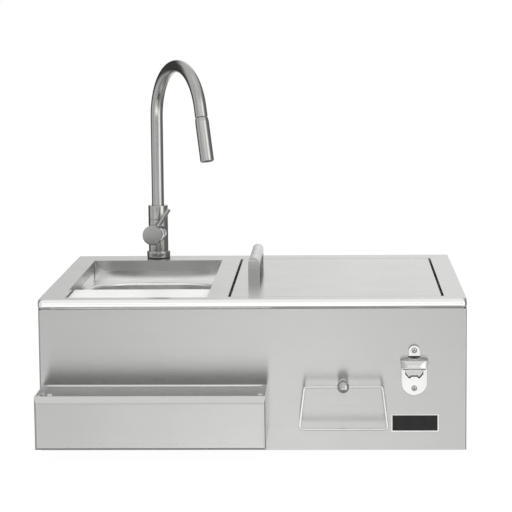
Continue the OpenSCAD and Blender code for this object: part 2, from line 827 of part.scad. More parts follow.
module lid_hinge_pins() {
    wall_out = lid_end_gap + 2*sheet_t;
    color(polished) hinge_ends() {
        translate([0, 0, -wall_out]) cylinder(d = pin_d, h = wall_out + bush_l - 1);
        translate([0, 0, -wall_out - 1.5]) cylinder(d = pin_d + 6, h = 1.5);
    }
}

module lid_bushes() {
    color(nylon_grey) hinge_ends() difference() {
        union() {
            cylinder(d = bush_d, h = bush_l);
            translate([0, 0, sheet_t]) cylinder(d = bush_d + 2, h = 1.5);
        }
        translate([0, 0, -cut]) cylinder(d = pin_d + 2*fit, h = bush_l + 2*cut);
    }
}

// Box w by l by h standing on z 0, with round edges along its top
module crowned_box(w, l, h, r) {
    intersection() {
        translate([0, l/2, 0]) rotate([90, 0, 0]) linear_extrude(height = l) crown(w, h, r);
        translate([-w/2, 0, 0]) rotate([90, 0, 90]) linear_extrude(height = w) crown(l, h, r);
    }
}

module crown(w, h, r) {
    translate([-w/2, 0]) square([w, h - r]);
    translate([r - w/2, 0]) square([w - 2*r, h]);
    for (x = [-1, 1]) translate([x*(w/2 - r), h - r]) circle(r = r);
}

module lid_skin() {
    color(steel) difference() {
        translate([chest_cx, chest_cy, lid_z]) difference() {
            crowned_box(lid_w, lid_l, lid_t, lid_edge_r);
            translate([0, 0, -cut]) crowned_box(lid_w - 2*sheet_t, lid_l - 2*sheet_t, lid_t - sheet_t + cut,
                lid_edge_r - sheet_t);
        }
        hinge_ends() translate([0, 0, -cut]) cylinder(d = bush_d, h = sheet_t + 2*cut);
        for (y = handle_screw_y()) translate([handle_x, y, body_h - 5]) cylinder(d = 5.2, h = 10);
    }
}

function handle_screw_y() = [handle_y - handle_l/2 + handle_bar/2, handle_y + handle_l/2 - handle_bar/2];

module lid_core() {
    core_w = lid_w - 2*sheet_t - 1;
    core_l = lid_l - 2*sheet_t - 1;
    core_h = lid_t - sheet_t - lid_pan_t;
    screw_well_d = 13;
    screw_well_h = 12;
    color(foam_cream) difference() {
        union() {
            translate([chest_cx - core_w/2, chest_cy - core_l/2, lid_z + lid_pan_t]) cube([core_w, core_l, core_h]);
            lid_plug(lid_pan_t, cut);
        }
        hinge_ends() translate([0, 0, -cut]) cylinder(d = bush_d + 6, h = bush_l + 3);
        for (y = handle_screw_y()) translate([handle_x, y, body_h - screw_well_h])
            cylinder(d = screw_well_d, h = screw_well_h);
    }
}

// The part of the lid that hangs into the chest, made smaller all round by inset
module lid_plug(inset, rise) {
    plug_w = liner_w - 2*lid_plug_gap - 2*inset;
    plug_l = liner_l - 2*lid_plug_gap - 2*inset;
    translate([chest_cx, chest_cy, lid_z - lid_plug_h + inset])
        linear_extrude(height = lid_plug_h - inset + rise)
            round_rect(plug_w, plug_l, chest_r - lid_plug_gap);
}

module lid_pan() {
    color(polished) difference() {
        union() {
            translate([chest_cx - lid_w/2 + sheet_t, chest_cy - lid_l/2 + sheet_t, lid_z])
                cube([lid_w - 2*sheet_t, lid_l - 2*sheet_t, lid_pan_t]);
            lid_plug(0, 0);
        }
        lid_plug(lid_pan_t, 2*cut);
    }
}

module lid_handle() {
    screw_hole_h = 12;
    outer_r = 7;
    inner_r = 6;
    gap_l = handle_l - 2*handle_bar;
    gap_h = handle_h - handle_bar;
    color(polished) translate([handle_x, handle_y, body_h]) difference() {
        intersection() {
            // Section across the bar: straight sides under a half round
            translate([0, handle_l/2, 0]) rotate([90, 0, 0]) linear_extrude(height = handle_l)
                crown(handle_w, handle_h, handle_w/2 - 0.01);
            // Side view: a bridge with round shoulders
            translate([-handle_w/2, 0, 0]) rotate([90, 0, 90]) linear_extrude(height = handle_w)
                crown(handle_l, handle_h, outer_r);
        }
        translate([-handle_w/2 - cut, 0, -cut]) rotate([90, 0, 90]) linear_extrude(height = handle_w + 2*cut)
            crown(gap_l, gap_h + cut, inner_r);
        for (y = [-1, 1]) translate([0, y*(handle_l - handle_bar)/2, -cut]) cylinder(d = 5, h = screw_hole_h + cut);
    }
}

module lid_handle_screws() {
    color(dark_steel) for (y = handle_screw_y()) translate([handle_x, y, under_z]) {
        translate([0, 0, -3.5]) cylinder(d = 10, h = 3.5);
        cylinder(d = 5, h = sheet_t + 10);
    }
}

module faucet_base_seal() {
    color(rubber_black) translate([faucet_x, faucet_y, body_h]) tube(base_d - 1.5, shank_d + 4, seal_t);
}

module faucet_base_ring() {
    edge = 1.5;
    r = base_d/2;
    bore_r = (shank_d + 2)/2;
    color(polished) translate([faucet_x, faucet_y, ring_z]) rotate_extrude()
        polygon([[bore_r, 0], [r - edge/2, 0], [r, edge/2], [r, base_h - edge], [r - edge, base_h],
            [bore_r, base_h]]);
}

// Places children on the axis of the lever's hub, z pointing out from the faucet axis
module on_hub() {
    translate([faucet_x, faucet_y, hub_z]) rotate([0, 0, -hub_turn]) rotate([90, 0, 0]) children();
}

// The same, turned so that y points along the lever
module on_lever() {
    on_hub() rotate([0, 0, -lever_lean]) children();
}

module faucet_body() {
    spigot = (shank_d + 2)/2;
    color(polished) difference() {
        union() {
            translate([faucet_x, faucet_y, body_z]) cylinder(d = faucet_d, h = fixed_z - body_z);
            translate([faucet_x, faucet_y, ring_z]) cylinder(r = spigot - 0.1, h = body_z - ring_z);
            translate([faucet_x, faucet_y, fixed_z]) cylinder(d = swivel_d, h = swivel_h);
            on_hub() cylinder(d = boss_d, h = boss_out);
        }
        on_hub() cylinder(d = cartridge_d, h = boss_out + cut);
    }
}

module valve_cartridge() {
    color(board_white) on_hub() difference() {
        translate([0, 0, 1]) cylinder(d = cartridge_d - 0.1, h = boss_out - 2);
        translate([0, 0, 9]) cylinder(d = stem_d + 2*fit, h = boss_out);
    }
}

module faucet_shank() {
    color(brass_yellow) translate([faucet_x, faucet_y, ring_z - shank_l]) difference() {
        tube(shank_d, shank_d - 8, shank_l);
        // Thread relief at the lower end
        tube(shank_d + 2, shank_d - 1.6, 3);
    }
}

module faucet_washer() {
    color(dark_steel) translate([faucet_x, faucet_y, under_z - 2.5]) tube(shank_d + 20, shank_d, 2.5);
}

module faucet_nut() {
    nut_h = 12;
    color(brass_yellow) translate([faucet_x, faucet_y, under_z - 2.5 - nut_h]) difference() {
        cylinder(d = shank_d + 20, h = nut_h, $fn = 6);
        translate([0, 0, -cut]) cylinder(d = shank_d, h = nut_h + 2*cut);
    }
}

module mix_dome() {
    neck_z = boss_out + 0.5;
    stem_l = boss_out - 11;
    color(polished) on_lever() difference() {
        union() {
            intersection() {
                translate([0, 0, pivot_out]) sphere(r = dome_r);
                translate([0, 0, neck_z]) cylinder(r = dome_r + cut, h = 2*dome_r + cut);
            }
            translate([0, 0, boss_out - stem_l]) cylinder(d = stem_d, h = stem_l + 5);
        }
        translate([-dome_r - cut, 0, pivot_out]) rotate([0, 90, 0]) cylinder(d = tilt_pin_d, h = 2*dome_r + 2*cut);
    }
}

module tilt_pin() {
    reach = hub_d/2 - 0.6;
    color(dark_steel) on_lever() translate([-reach, 0, pivot_out]) rotate([0, 90, 0])
        cylinder(d = tilt_pin_d, h = 2*reach);
}

module lever_cap() {
    edge = 1.5;
    h = cap_front - cap_back;
    r = hub_d/2;
    color(polished) on_lever() difference() {
        translate([0, 0, cap_back]) rotate_extrude() difference() {
            union() {
                square([r, h - edge]);
                square([r - edge, h]);
                translate([r - edge, h - edge]) circle(r = edge);
            }
            translate([-2*r, -r]) square([2*r, 3*r]);
        }
        translate([0, 0, pivot_out]) sphere(r = cup_r);
        translate([0, 0, cap_back - cut]) cylinder(r = cup_r, h = pivot_out - cap_back + cut);
        translate([-r - cut, 0, pivot_out]) rotate([0, 90, 0]) cylinder(d = tilt_pin_d + 2*fit, h = 2*r + 2*cut);
        translate([0, rod_root, rod_out]) rotate([-90, 0, 0]) cylinder(d = lever_d, h = r);
    }
}

module lever_rod() {
    tip = 1;
    collar_l = 4;
    r = hub_d/2;
    len = lever_l - rod_root;
    color(polished) on_lever() translate([0, rod_root, rod_out]) rotate([-90, 0, 0]) rotate_extrude()
        polygon([[0, 0], [lever_d/2, 0], [lever_d/2, r - rod_root + 0.6], [lever_d/2 + 1.2, r - rod_root + 1.2],
            [lever_d/2 + 1.2, r - rod_root + collar_l], [lever_d/2, r - rod_root + collar_l + 0.8],
            [lever_d/2 + 0.3, len - tip], [lever_d/2 + 0.3 - tip, len], [0, len]]);
}

module swivel_sleeve() {
    edge = 1;
    r = faucet_d/2;
    color(polished) translate([faucet_x, faucet_y, sleeve_z]) difference() {
        rotate_extrude() polygon([[0, 0], [r - 0.4, 0], [r, 0.4], [r, sleeve_h - edge], [r - edge, sleeve_h],
            [0, sleeve_h]]);
        translate([0, 0, -cut]) cylinder(d = swivel_d + 2*fit, h = swivel_h + 0.5 + cut);
        cylinder(d = tube_d, h = sleeve_h + cut);
    }
}

// Places children at the end of the gooseneck's arc, z pointing down along the outlet
module at_outlet() {
    in_arc_plane() rotate([0, 0, outlet_tilt]) translate([arc_r, 0, 0]) rotate([90, 0, 0]) children();
}

// Places children at the centre of the arc, x along the reach of the spout and y up
module in_arc_plane() {
    translate([faucet_x, faucet_y, spring_z]) rotate([0, 0, spout_turn]) translate([0, -arc_r, 0])
        rotate([90, 0, -90]) children();
}

module gooseneck_solid(d) {
    foot = sleeve_z + swivel_h + 1;
    translate([faucet_x, faucet_y, foot]) cylinder(d = d, h = spring_z - foot);
    // Narrow band that closes the joint between the riser and the arc
    translate([faucet_x, faucet_y, spring_z]) cylinder(d = d + 0.1, h = 0.6, center = true);
    in_arc_plane() rotate([0, 0, outlet_tilt]) {
        rotate_extrude(angle = 180 - outlet_tilt) translate([arc_r, 0]) circle(d = d);
        translate([arc_r, 0, 0]) rotate([90, 0, 0]) cylinder(d = d, h = outlet_l);
    }
}

module gooseneck() {
    foot = sleeve_z + swivel_h + 1;
    color(polished) difference() {
        gooseneck_solid(tube_d);
        gooseneck_solid(tube_in);
        translate([faucet_x, faucet_y, foot - cut]) cylinder(d = tube_in, h = 2*cut);
        at_outlet() translate([0, 0, outlet_l - cut]) cylinder(d = tube_in, h = 2*cut);
    }
}

module dock_ring() {
    color(nylon_grey) at_outlet() translate([0, 0, outlet_l - dock_l])
        tube(tube_in, tube_in - 2*dock_t, dock_l);
}

module spray_shell() {
    wall = 2.5;
    edge = 1.2;
    top_edge = 0.6;
    r = spray_d/2;
    top_r = tube_d/2;
    color(polished) at_outlet() translate([0, 0, head_z0]) rotate_extrude()
        polygon([[spigot_d/2, 0], [top_r - top_edge, 0], [top_r, top_edge], [r, 6], [r, spray_l - edge],
            [r - edge, spray_l], [r - wall, spray_l], [r - wall, spray_l - 6], [r - wall, 8],
            [spigot_d/2, 4]]);
}

module spray_face() {
    face_r = spray_d/2 - 2.5;
    jets = 10;
    color(dark_steel) at_outlet() translate([0, 0, head_z0 + spray_l - 6]) difference() {
        cylinder(r = face_r, h = 4.5);
        translate([0, 0, 2]) cylinder(d = 7, h = 5);
        for (k = [0:jets - 1]) rotate([0, 0, 360*k/jets]) translate([face_r - 3, 0, 2]) cylinder(d = 1.6, h = 5);
    }
}

module spray_spigot() {
    color(nylon_grey) at_outlet() translate([0, 0, spigot_z])
        tube(spigot_d, hose_d, spigot_l + 4);
}

module spray_hose() {
    color(nylon_grey) at_outlet() translate([0, 0, spigot_z + spigot_l - hose_l]) cylinder(d = hose_d, h = hose_l);
}

module rail_profile(grow) {
    // Side view of the rail, x outwards from the panel and y up
    d = rail_d - grow;
    e = rail_r - grow;
    z0 = rail_z + grow;
    top = grow > 0 ? rail_top + cut : rail_top;
    lean = lip_lean*(top - rail_top + lip_h)/lip_h;
    translate([grow, z0 + e]) square([d - grow, rail_top - lip_h - z0 - e]);
    translate([grow, z0]) square([d - grow - e, e + cut]);
    translate([d - e, z0 + e]) circle(r = e);
    polygon([[grow, rail_top - lip_h], [d, rail_top - lip_h], [d - lean, top], [grow, top]]);
}

module rail_tray() {
    hem_d = 3;
    hem_in = 10;
    color(steel) difference() {
        union() {
            difference() {
                rail_block(0);
                rail_block(sheet_t);
            }
            // Rolled hem along the rear wall's top edge
            translate([rail_x0 + hem_in, panel_y - sheet_t - hem_d/2 + 0.4, rail_top - hem_d/2])
                rotate([0, 90, 0]) cylinder(d = hem_d, h = rail_w - 2*hem_in);
        }
        rail_screw_places() translate([0, 0, -cut]) cylinder(d = 4.4, h = 10);
    }
}

module rail_block(grow) {
    intersection() {
        translate([rail_x0 + grow, panel_y, 0]) rotate([90, 0, -90]) mirror([0, 0, 1])
            linear_extrude(height = rail_w - 2*grow) rail_profile(grow);
        translate([rail_x0 + rail_w/2, panel_y - rail_d/2, rail_z - cut]) linear_extrude(height = rail_h + 3*cut)
            round_rect(rail_w - 2*grow, rail_d - 2*grow, rail_r - grow);
    }
}

module rail_screw_places() {
    for (x = [rail_x0 + rail_screw_in, rail_x0 + rail_w - rail_screw_in])
        translate([x, panel_y - sheet_t, rail_top - rail_screw_drop]) rotate([90, 0, 0])
            translate([0, 0, -5]) children();
}

module rail_screws() {
    color(polished) rail_screw_places() translate([0, 0, 5]) dome_screw(10, 3.2, 4.2, 8);
}

module towel_post() {
    rose_d = 30;
    rose_h = 5;
    waist_d = post_d - 3;
    color(polished) difference() {
        on_panel(ring_x, ring_z_pos) {
            rotate_extrude() {
                polygon([[0, 0], [rose_d/2, 0], [rose_d/2, rose_h - 2], [rose_d/2 - 2, rose_h],
                    [post_d/2, rose_h], [waist_d/2, rose_h + 8], [waist_d/2, ring_out - ball_d/2 - 2],
                    [post_d/2, ring_out - ball_d/2 + 2], [0, ring_out - ball_d/2 + 2]]);
            }
            translate([0, 0, ring_out]) sphere(d = ball_d);
            translate([0, 0, -sheet_t - 10]) cylinder(d = stud_d, h = sheet_t + 11);
        }
        translate([ring_x - ball_d, ring_y, ring_z_pos]) rotate([0, 90, 0])
            cylinder(d = wire_d + 2*fit, h = 2*ball_d);
    }
}

module towel_post_nut() {
    color(dark_steel) on_panel(ring_x, ring_z_pos, -sheet_t - 5) difference() {
        cylinder(d = 12, h = 5, $fn = 6);
        translate([0, 0, -cut]) cylinder(d = stud_d, h = 5 + 2*cut);
    }
}

// Corners of the towel ring in the plane of the ring, x across and y up from the pivot
function ring_corners() = [[ring_top_w/2, 0], [-ring_top_w/2, 0], [-ring_bottom_w/2, -ring_h],
    [ring_bottom_w/2, -ring_h]];

// One side of a closed wire loop from corner a to corner b, its start cut back for the bend
// before it, with the bend at b towards corner c and a narrow band over the joint at its start
module wire_side(a, b, c, back, bend_r, d) {
    v = b - a;
    w = c - b;
    dir = atan2(v[1], v[0]);
    turn = ((atan2(w[1], w[0]) - dir + 540) % 360) - 180;
    ahead = bend_r*tan(abs(turn)/2);
    translate([b[0], b[1], 0]) rotate([0, 0, dir]) translate([-ahead, 0, 0]) {
        rotate([0, -90, 0]) cylinder(d = d, h = norm(v) - back - ahead);
        translate([back + ahead - norm(v), 0, 0]) rotate([0, 90, 0]) cylinder(d = d + 0.06, h = 0.6, center = true);
        translate([0, bend_r, 0]) rotate([0, 0, -90]) rotate_extrude(angle = turn)
            translate([bend_r, 0]) circle(d = d);
    }
}

function bend_back(a, b, c, bend_r) =
    let(v = b - a, w = c - b, turn = ((atan2(w[1], w[0]) - atan2(v[1], v[0]) + 540) % 360) - 180)
        bend_r*tan(abs(turn)/2);

module towel_ring() {
    p = ring_corners();
    bend = [ring_top_bend, ring_top_bend, ring_bend, ring_bend];
    n = len(p);
    color(polished) translate([ring_x, ring_y, ring_z_pos]) rotate([90, 0, 0])
        for (k = [0:n - 1]) {
            before = p[(k + n - 1) % n];
            next = p[(k + 1) % n];
            wire_side(p[k], next, p[(k + 2) % n], bend_back(before, p[k], next, bend[k]), bend[(k + 1) % n],
                wire_d);
        }
}

// Places on the opener, measured down from its top
hood_top = 23;
hood_bottom = 37;
mouth_top = 45;
mouth_bottom = 59;
mouth_w = 32;

// Front view of the opener's plate, x across and y down from its top
module opener_outline() {
    tab_r = opener_w*0.217;
    low_r = opener_w/2 - 1;
    shoulder = hood_top + 6;
    translate([0, -tab_r]) circle(r = tab_r);
    translate([-tab_r, -shoulder]) square([2*tab_r, shoulder - tab_r]);
    translate([-low_r, low_r - opener_h]) square([2*low_r, opener_h - low_r - shoulder]);
    translate([0, low_r - opener_h]) circle(r = low_r);
}

// Front view of the hood: its sides lean inwards, its top and bottom edges are bowed upwards
module hood_outline() {
    bow_r = opener_w*1.7;
    bow = 3;
    top_w = opener_w + 3.4;
    bottom_w = opener_w - 2;
    difference() {
        intersection() {
            translate([0, -hood_top - bow_r]) circle(r = bow_r);
            polygon([[-top_w/2, -hood_top], [top_w/2, -hood_top], [bottom_w/2, -hood_bottom - bow],
                [-bottom_w/2, -hood_bottom - bow]]);
        }
        translate([0, -hood_bottom - bow_r]) circle(r = bow_r);
    }
}

// Hood that slopes outwards to its lower edge and is bowed across
module opener_hood() {
    slope_r = 16;
    bow_r = hood_out + 14;
    w = opener_w + 6;
    intersection() {
        linear_extrude(height = hood_out) hood_outline();
        translate([0, -hood_bottom - 10, hood_out - bow_r]) rotate([-90, 0, 0])
            cylinder(r = bow_r, h = hood_bottom - hood_top + 20);
        union() {
            translate([-w/2, -hood_top - slope_r, hood_out - slope_r]) rotate([0, 90, 0])
                cylinder(r = slope_r, h = w);
            translate([-w/2, -hood_bottom - 10, 0]) cube([w, hood_bottom - hood_top + 10, hood_out - slope_r]);
        }
    }
}

// Mouth: a recess with slanting ends and a tooth left in its middle
module mouth_outline() {
    tooth_w = 14;
    tooth_h = 3;
    difference() {
        polygon([[-mouth_w/2, -mouth_top], [mouth_w/2, -mouth_top], [mouth_w/2, 8 - mouth_bottom],
            [mouth_w/2 - 6.5, -mouth_bottom], [6.5 - mouth_w/2, -mouth_bottom], [-mouth_w/2, 8 - mouth_bottom]]);
        polygon([[-tooth_w/2, -mouth_bottom - cut], [tooth_w/2, -mouth_bottom - cut],
            [tooth_w/2 - 1, tooth_h - mouth_bottom], [1 - tooth_w/2, tooth_h - mouth_bottom]]);
    }
}

module opener_body() {
    hood_wall = 4;
    hollow_w = 33;
    slot_h = 3;
    color(polished) translate([opener_x, panel_y, opener_top]) rotate([90, 0, 0]) difference() {
        union() {
            linear_extrude(height = opener_t) opener_outline();
            opener_hood();
        }
        // Hollow under the hood
        translate([-hollow_w/2, -hood_bottom - cut, opener_t - 1.5])
            cube([hollow_w, hood_bottom - hood_top - hood_wall + cut, hood_out - opener_t - 5.5]);
        // Slot across the plate above the hood
        translate([-opener_w/2, -hood_top + 0.6, opener_t - 3.5]) cube([opener_w, slot_h, opener_t]);
        translate([0, 0, opener_t - 3]) linear_extrude(height = opener_t) mouth_outline();
        for (z = opener_screw_z) translate([0, z - opener_top, -cut]) {
            cylinder(d = opener_screw_d + 0.2, h = opener_t + 2*cut);
            translate([0, 0, cut + opener_t - 1.5]) cylinder(d = 9.4, h = 3);
        }
    }
}

module opener_screws() {
    color(dark_steel) for (z = opener_screw_z) on_panel(opener_x, z, opener_t - 1.5)
        dome_screw(9, 2.6, opener_screw_d, opener_t + 8);
}

deck();
housing_wrap();
rear_panel();
rear_screws();
bottom_pan();
divider_panel();
sink_collar();
sink_bowl();
board_brackets();
drain_flange();
drain_gasket();
drain_locknut();
tail_nut();
drain_tailpiece();
strainer_basket();
basket_stopper();
cutting_board();
chest_collar();
chest_liner();
chest_insulation();
chest_drain();
chest_drain_nut();
chest_plug();
lid_gasket();
lid_hinge_pins();
lid_bushes();
lid_skin();
lid_core();
lid_pan();
lid_handle();
lid_handle_screws();
faucet_base_seal();
faucet_base_ring();
faucet_body();
faucet_shank();
faucet_washer();
faucet_nut();
valve_cartridge();
mix_dome();
tilt_pin();
lever_cap();
lever_rod();
swivel_sleeve();
gooseneck();
dock_ring();
spray_shell();
spray_face();
spray_spigot();
spray_hose();
rail_tray();
rail_screws();
towel_post();
towel_post_nut();
towel_ring();
opener_body();
opener_screws();
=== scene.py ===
import math

import bmesh
import bpy
import numpy as np
from mathutils import Matrix, Vector


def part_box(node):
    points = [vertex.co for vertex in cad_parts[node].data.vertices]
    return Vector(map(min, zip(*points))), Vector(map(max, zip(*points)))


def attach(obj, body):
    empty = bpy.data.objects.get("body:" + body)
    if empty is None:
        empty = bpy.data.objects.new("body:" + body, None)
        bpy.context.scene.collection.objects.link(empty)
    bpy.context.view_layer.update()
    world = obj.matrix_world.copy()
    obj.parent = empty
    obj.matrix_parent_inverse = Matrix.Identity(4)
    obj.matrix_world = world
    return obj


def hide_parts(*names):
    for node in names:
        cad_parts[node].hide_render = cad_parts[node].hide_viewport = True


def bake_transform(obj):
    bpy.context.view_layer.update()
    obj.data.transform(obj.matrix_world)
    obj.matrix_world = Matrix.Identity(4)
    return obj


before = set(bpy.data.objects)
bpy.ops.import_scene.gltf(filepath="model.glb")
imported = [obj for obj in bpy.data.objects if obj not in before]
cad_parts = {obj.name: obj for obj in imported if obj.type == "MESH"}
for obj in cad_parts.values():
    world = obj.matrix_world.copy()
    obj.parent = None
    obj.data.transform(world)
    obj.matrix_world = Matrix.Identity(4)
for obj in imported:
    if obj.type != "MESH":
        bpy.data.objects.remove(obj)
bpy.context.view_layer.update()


# Camera
# A long lens a little above the deck, right of the middle and turned slightly to the left,
# as a catalogue shot of the unit on white is taken.
camera_place = (0.1473, -3.9223, 0.8086)
camera_lens = 145.23
camera_pitch = math.radians(7.2105)
camera_yaw = math.radians(-2.1892)
camera_roll = math.radians(-0.5427)


def camera_axes(pitch, yaw, roll):
    """Right, up and forward of a camera that looks along +Y, turned by yaw about Z, tipped down by pitch
    and rolled about its own axis."""
    forward = np.array([math.sin(yaw) * math.cos(pitch), math.cos(yaw) * math.cos(pitch), -math.sin(pitch)])
    level = np.array([math.cos(yaw), -math.sin(yaw), 0])
    above = np.cross(level, forward)
    right = math.cos(roll) * level + math.sin(roll) * above
    up = -math.sin(roll) * level + math.cos(roll) * above
    return right, up, forward


camera = bpy.data.objects.new("camera", bpy.data.cameras.new("camera"))
camera.data.lens = camera_lens
camera.data.sensor_width = 36
right, up, forward = camera_axes(camera_pitch, camera_yaw, camera_roll)
turn = Matrix((right, up, -forward)).transposed().to_4x4()
camera.matrix_world = Matrix.Translation(camera_place) @ turn
camera.data.clip_end = 100
bpy.context.scene.collection.objects.link(camera)
bpy.context.scene.camera = camera
bpy.context.scene.view_settings.view_transform = "Standard"


# Studio
# A white sweep under soft light. The metal mirrors white behind the unit with dark flags at the rear
# corners, a bright sweep and a softbox in front, a window on its right and an even grey below. The flags
# draw the edges of the round parts.
def feed(tree, node, inputs):
    """Gives each named or numbered input of a node its value, or the link that it comes by."""
    for key, value in dict(inputs).items():
        if isinstance(value, bpy.types.NodeSocket):
            tree.links.new(value, node.inputs[key])
        else:
            node.inputs[key].default_value = value


def put(tree, kind, inputs=(), **settings):
    """Adds a shader node of that kind, with its settings and inputs."""
    node = tree.nodes.new("ShaderNode" + kind)
    for key, value in settings.items():
        setattr(node, key, value)
    feed(tree, node, inputs)
    return node


def ramp(tree, value, low, high, start=0.0, end=1.0):
    """Smooth step of a value from low to high, given out as start to end."""
    inputs = {"Value": value, "From Min": low, "From Max": high, "To Min": start, "To Max": end}
    return put(tree, "MapRange", inputs, interpolation_type="SMOOTHSTEP").outputs["Result"]


def reckon(tree, operation, *values, **settings):
    """Output of a Math node that works on the values."""
    return put(tree, "Math", dict(enumerate(values)), operation=operation, **settings).outputs[0]


def vectors(tree, operation, *values):
    """Output of a VectorMath node: a number for a dot product or a distance, and else a vector."""
    outputs = put(tree, "VectorMath", dict(enumerate(values)), operation=operation).outputs
    return outputs["Value" if operation in ("DOT_PRODUCT", "DISTANCE") else "Vector"]


def between(tree, share, first, second):
    """A number that goes from the first to the second as the share goes from 0 to 1."""
    return put(tree, "Mix", {0: share, 2: first, 3: second}).outputs[0]


def mirror_rays(tree):
    """1 for rays from the camera and for those that metal or glass sends on, 0 for others."""
    path = put(tree, "LightPath").outputs
    seen = reckon(tree, "ADD", path["Is Camera Ray"], path["Is Glossy Ray"])
    return reckon(tree, "ADD", seen, path["Is Transmission Ray"], use_clamp=True)


def direction(azimuth, elevation):
    """Unit vector; azimuth 0 is straight in front of the unit, at -Y, and 90 is +X."""
    a, e = math.radians(azimuth), math.radians(elevation)
    return (math.sin(a) * math.cos(e), -math.cos(a) * math.cos(e), math.sin(e))


# Azimuth in degrees and level of what stands round the unit at eye height, from behind over its left,
# front and right
round_levels = [(-180, 1.08), (-171, 0.86), (-160, 0.05), (-118, 0.07), (-100, 0.68), (-80, 0.8),
                (-60, 0.6), (-40, 0.87), (-26, 1.12), (-14, 1.0), (-9.4, 0.86), (-8.2, 0.86), (-7.5, 0.76),
                (-6.4, 0.96), (-4.5, 1.02), (-2.6, 1.06), (-1.2, 1.24), (0.4, 1.06), (2, 1.02), (4, 0.94),
                (16, 1.0), (30, 1.07), (42, 1.75), (58, 1.75), (70, 0.7), (86, 0.26), (120, 0.22),
                (150, 0.1), (166, 1.12)]
# Azimuth, elevation, half width and softness in degrees, and level of what hangs above and lies below
discs = {
    "dim ceiling": (0, 90, 50, 14, 0.8),
    "front softbox": (0, 20, 17, 5, 1.12),
    "overhead softbox": (0, 74, 18, 6, 0.95),
    "shaded floor": (0, -90, 34, 12, 0.3),
}
# The sweep in front begins and is full where a direction points this far forwards, and between these two
# heights its level falls from that near the unit to that far off
sweep_begins, sweep_full = 0.8, 0.93
sweep_low, sweep_high = -0.29, -0.05
sweep_near, sweep_far = 1.85, 0.58
# Further down all is one grey
ground_begins, ground_full, ground_level = -0.4, -0.8, 0.62
diffuse_level = 0.9


def build_world():
    """Level of each direction: smooth steps from one azimuth to the next, then the sweep in front, the
    ground and the discs laid over them. Matt surfaces see one plain level, and the camera sees white."""
    world = bpy.data.worlds.new("studio")
    bpy.context.scene.world = world
    world.use_nodes = True
    tree = world.node_tree
    tree.nodes.clear()
    ray = put(tree, "TexCoord").outputs["Generated"]
    part = put(tree, "SeparateXYZ", {0: ray}).outputs
    ahead = reckon(tree, "MULTIPLY", part["Y"], -1)
    turned_by = reckon(tree, "ARCTAN2", part["X"], ahead)
    azimuth = reckon(tree, "DEGREES", turned_by)
    level = round_levels[0][1]
    for (start, low), (end, high) in zip(round_levels, round_levels[1:]):
        step = ramp(tree, azimuth, start, end, 0, high - low)
        level = reckon(tree, "ADD", level, step)
    front = ramp(tree, ahead, sweep_begins, sweep_full)
    sweep = ramp(tree, part["Z"], sweep_low, sweep_high, sweep_near, sweep_far)
    sweep = between(tree, front, 1, sweep)
    level = reckon(tree, "MULTIPLY", level, sweep)
    below = ramp(tree, part["Z"], ground_begins, ground_full)
    level = between(tree, below, level, ground_level)
    for aside, elevation, half, soft, strength in discs.values():
        aim = direction(aside, elevation)
        near = vectors(tree, "DOT_PRODUCT", ray, aim)
        inside = ramp(tree, near, math.cos(math.radians(half + soft)), math.cos(math.radians(half - soft)))
        level = between(tree, inside, level, strength)
    path = put(tree, "LightPath").outputs
    studio = put(tree, "Background", {"Color": level, "Strength": 1})
    plain = put(tree, "Background", {"Color": (1, 1, 1, 1), "Strength": diffuse_level})
    white = put(tree, "Background", {"Color": (1, 1, 1, 1), "Strength": 1})
    lit = put(tree, "MixShader", {0: mirror_rays(tree), 1: plain.outputs[0], 2: studio.outputs[0]})
    shown = put(tree, "MixShader", {0: path["Is Camera Ray"], 1: lit.outputs[0], 2: white.outputs[0]})
    put(tree, "OutputWorld", {"Surface": shown.outputs[0]})


build_world()

# Half width in metres, its matt white, how white it looks by itself, and the share of that in what is seen
floor_half, floor_white, floor_glow, floor_shown = 12.0, 0.9, 1.02, 0.95


def build_floor():
    """Square floor whose corners lie floor_half out each way. It is matt, and shows itself near white to
    the camera, keeping a little of the unit's shadow."""
    mesh = bpy.data.meshes.new("floor")
    corners = [(x * floor_half, y * floor_half, 0) for x, y in ((-1, -1), (1, -1), (1, 1), (-1, 1))]
    mesh.from_pydata(corners, [], [(0, 1, 2, 3)])
    floor = bpy.data.objects.new("floor", mesh)
    bpy.context.scene.collection.objects.link(floor)
    material = bpy.data.materials.new("sweep")
    material.use_nodes = True
    tree = material.node_tree
    tree.nodes.clear()
    matt = put(tree, "BsdfDiffuse", {"Color": (floor_white, floor_white, floor_white, 1)})
    bright = put(tree, "Emission", {"Color": (1, 1, 1, 1), "Strength": floor_glow})
    share = reckon(tree, "MULTIPLY", mirror_rays(tree), floor_shown)
    both = put(tree, "MixShader", {0: share, 1: matt.outputs[0], 2: bright.outputs[0]})
    put(tree, "OutputMaterial", {"Surface": both.outputs[0]})
    mesh.materials.append(material)
    # The metal mirrors the studio's own gradient instead of a flat floor
    floor.visible_glossy = False


build_floor()


def lamp(name, place, aim, size, power):
    """Square soft lamp at place, turned to aim."""
    light = bpy.data.lights.new(name, "AREA")
    light.shape = "SQUARE"
    light.size = size
    light.energy = power
    made = bpy.data.objects.new(name, light)
    made.location = place
    made.rotation_euler = (Vector(aim) - Vector(place)).to_track_quat("-Z", "Y").to_euler()
    made.visible_glossy = False
    bpy.context.scene.collection.objects.link(made)


lamp("key", (1.3, -1.5, 2.4), (0, 0, 0.2), 1.6, 20)
lamp("fill", (-1.9, -1.2, 1.5), (0, 0, 0.2), 1.8, 7)


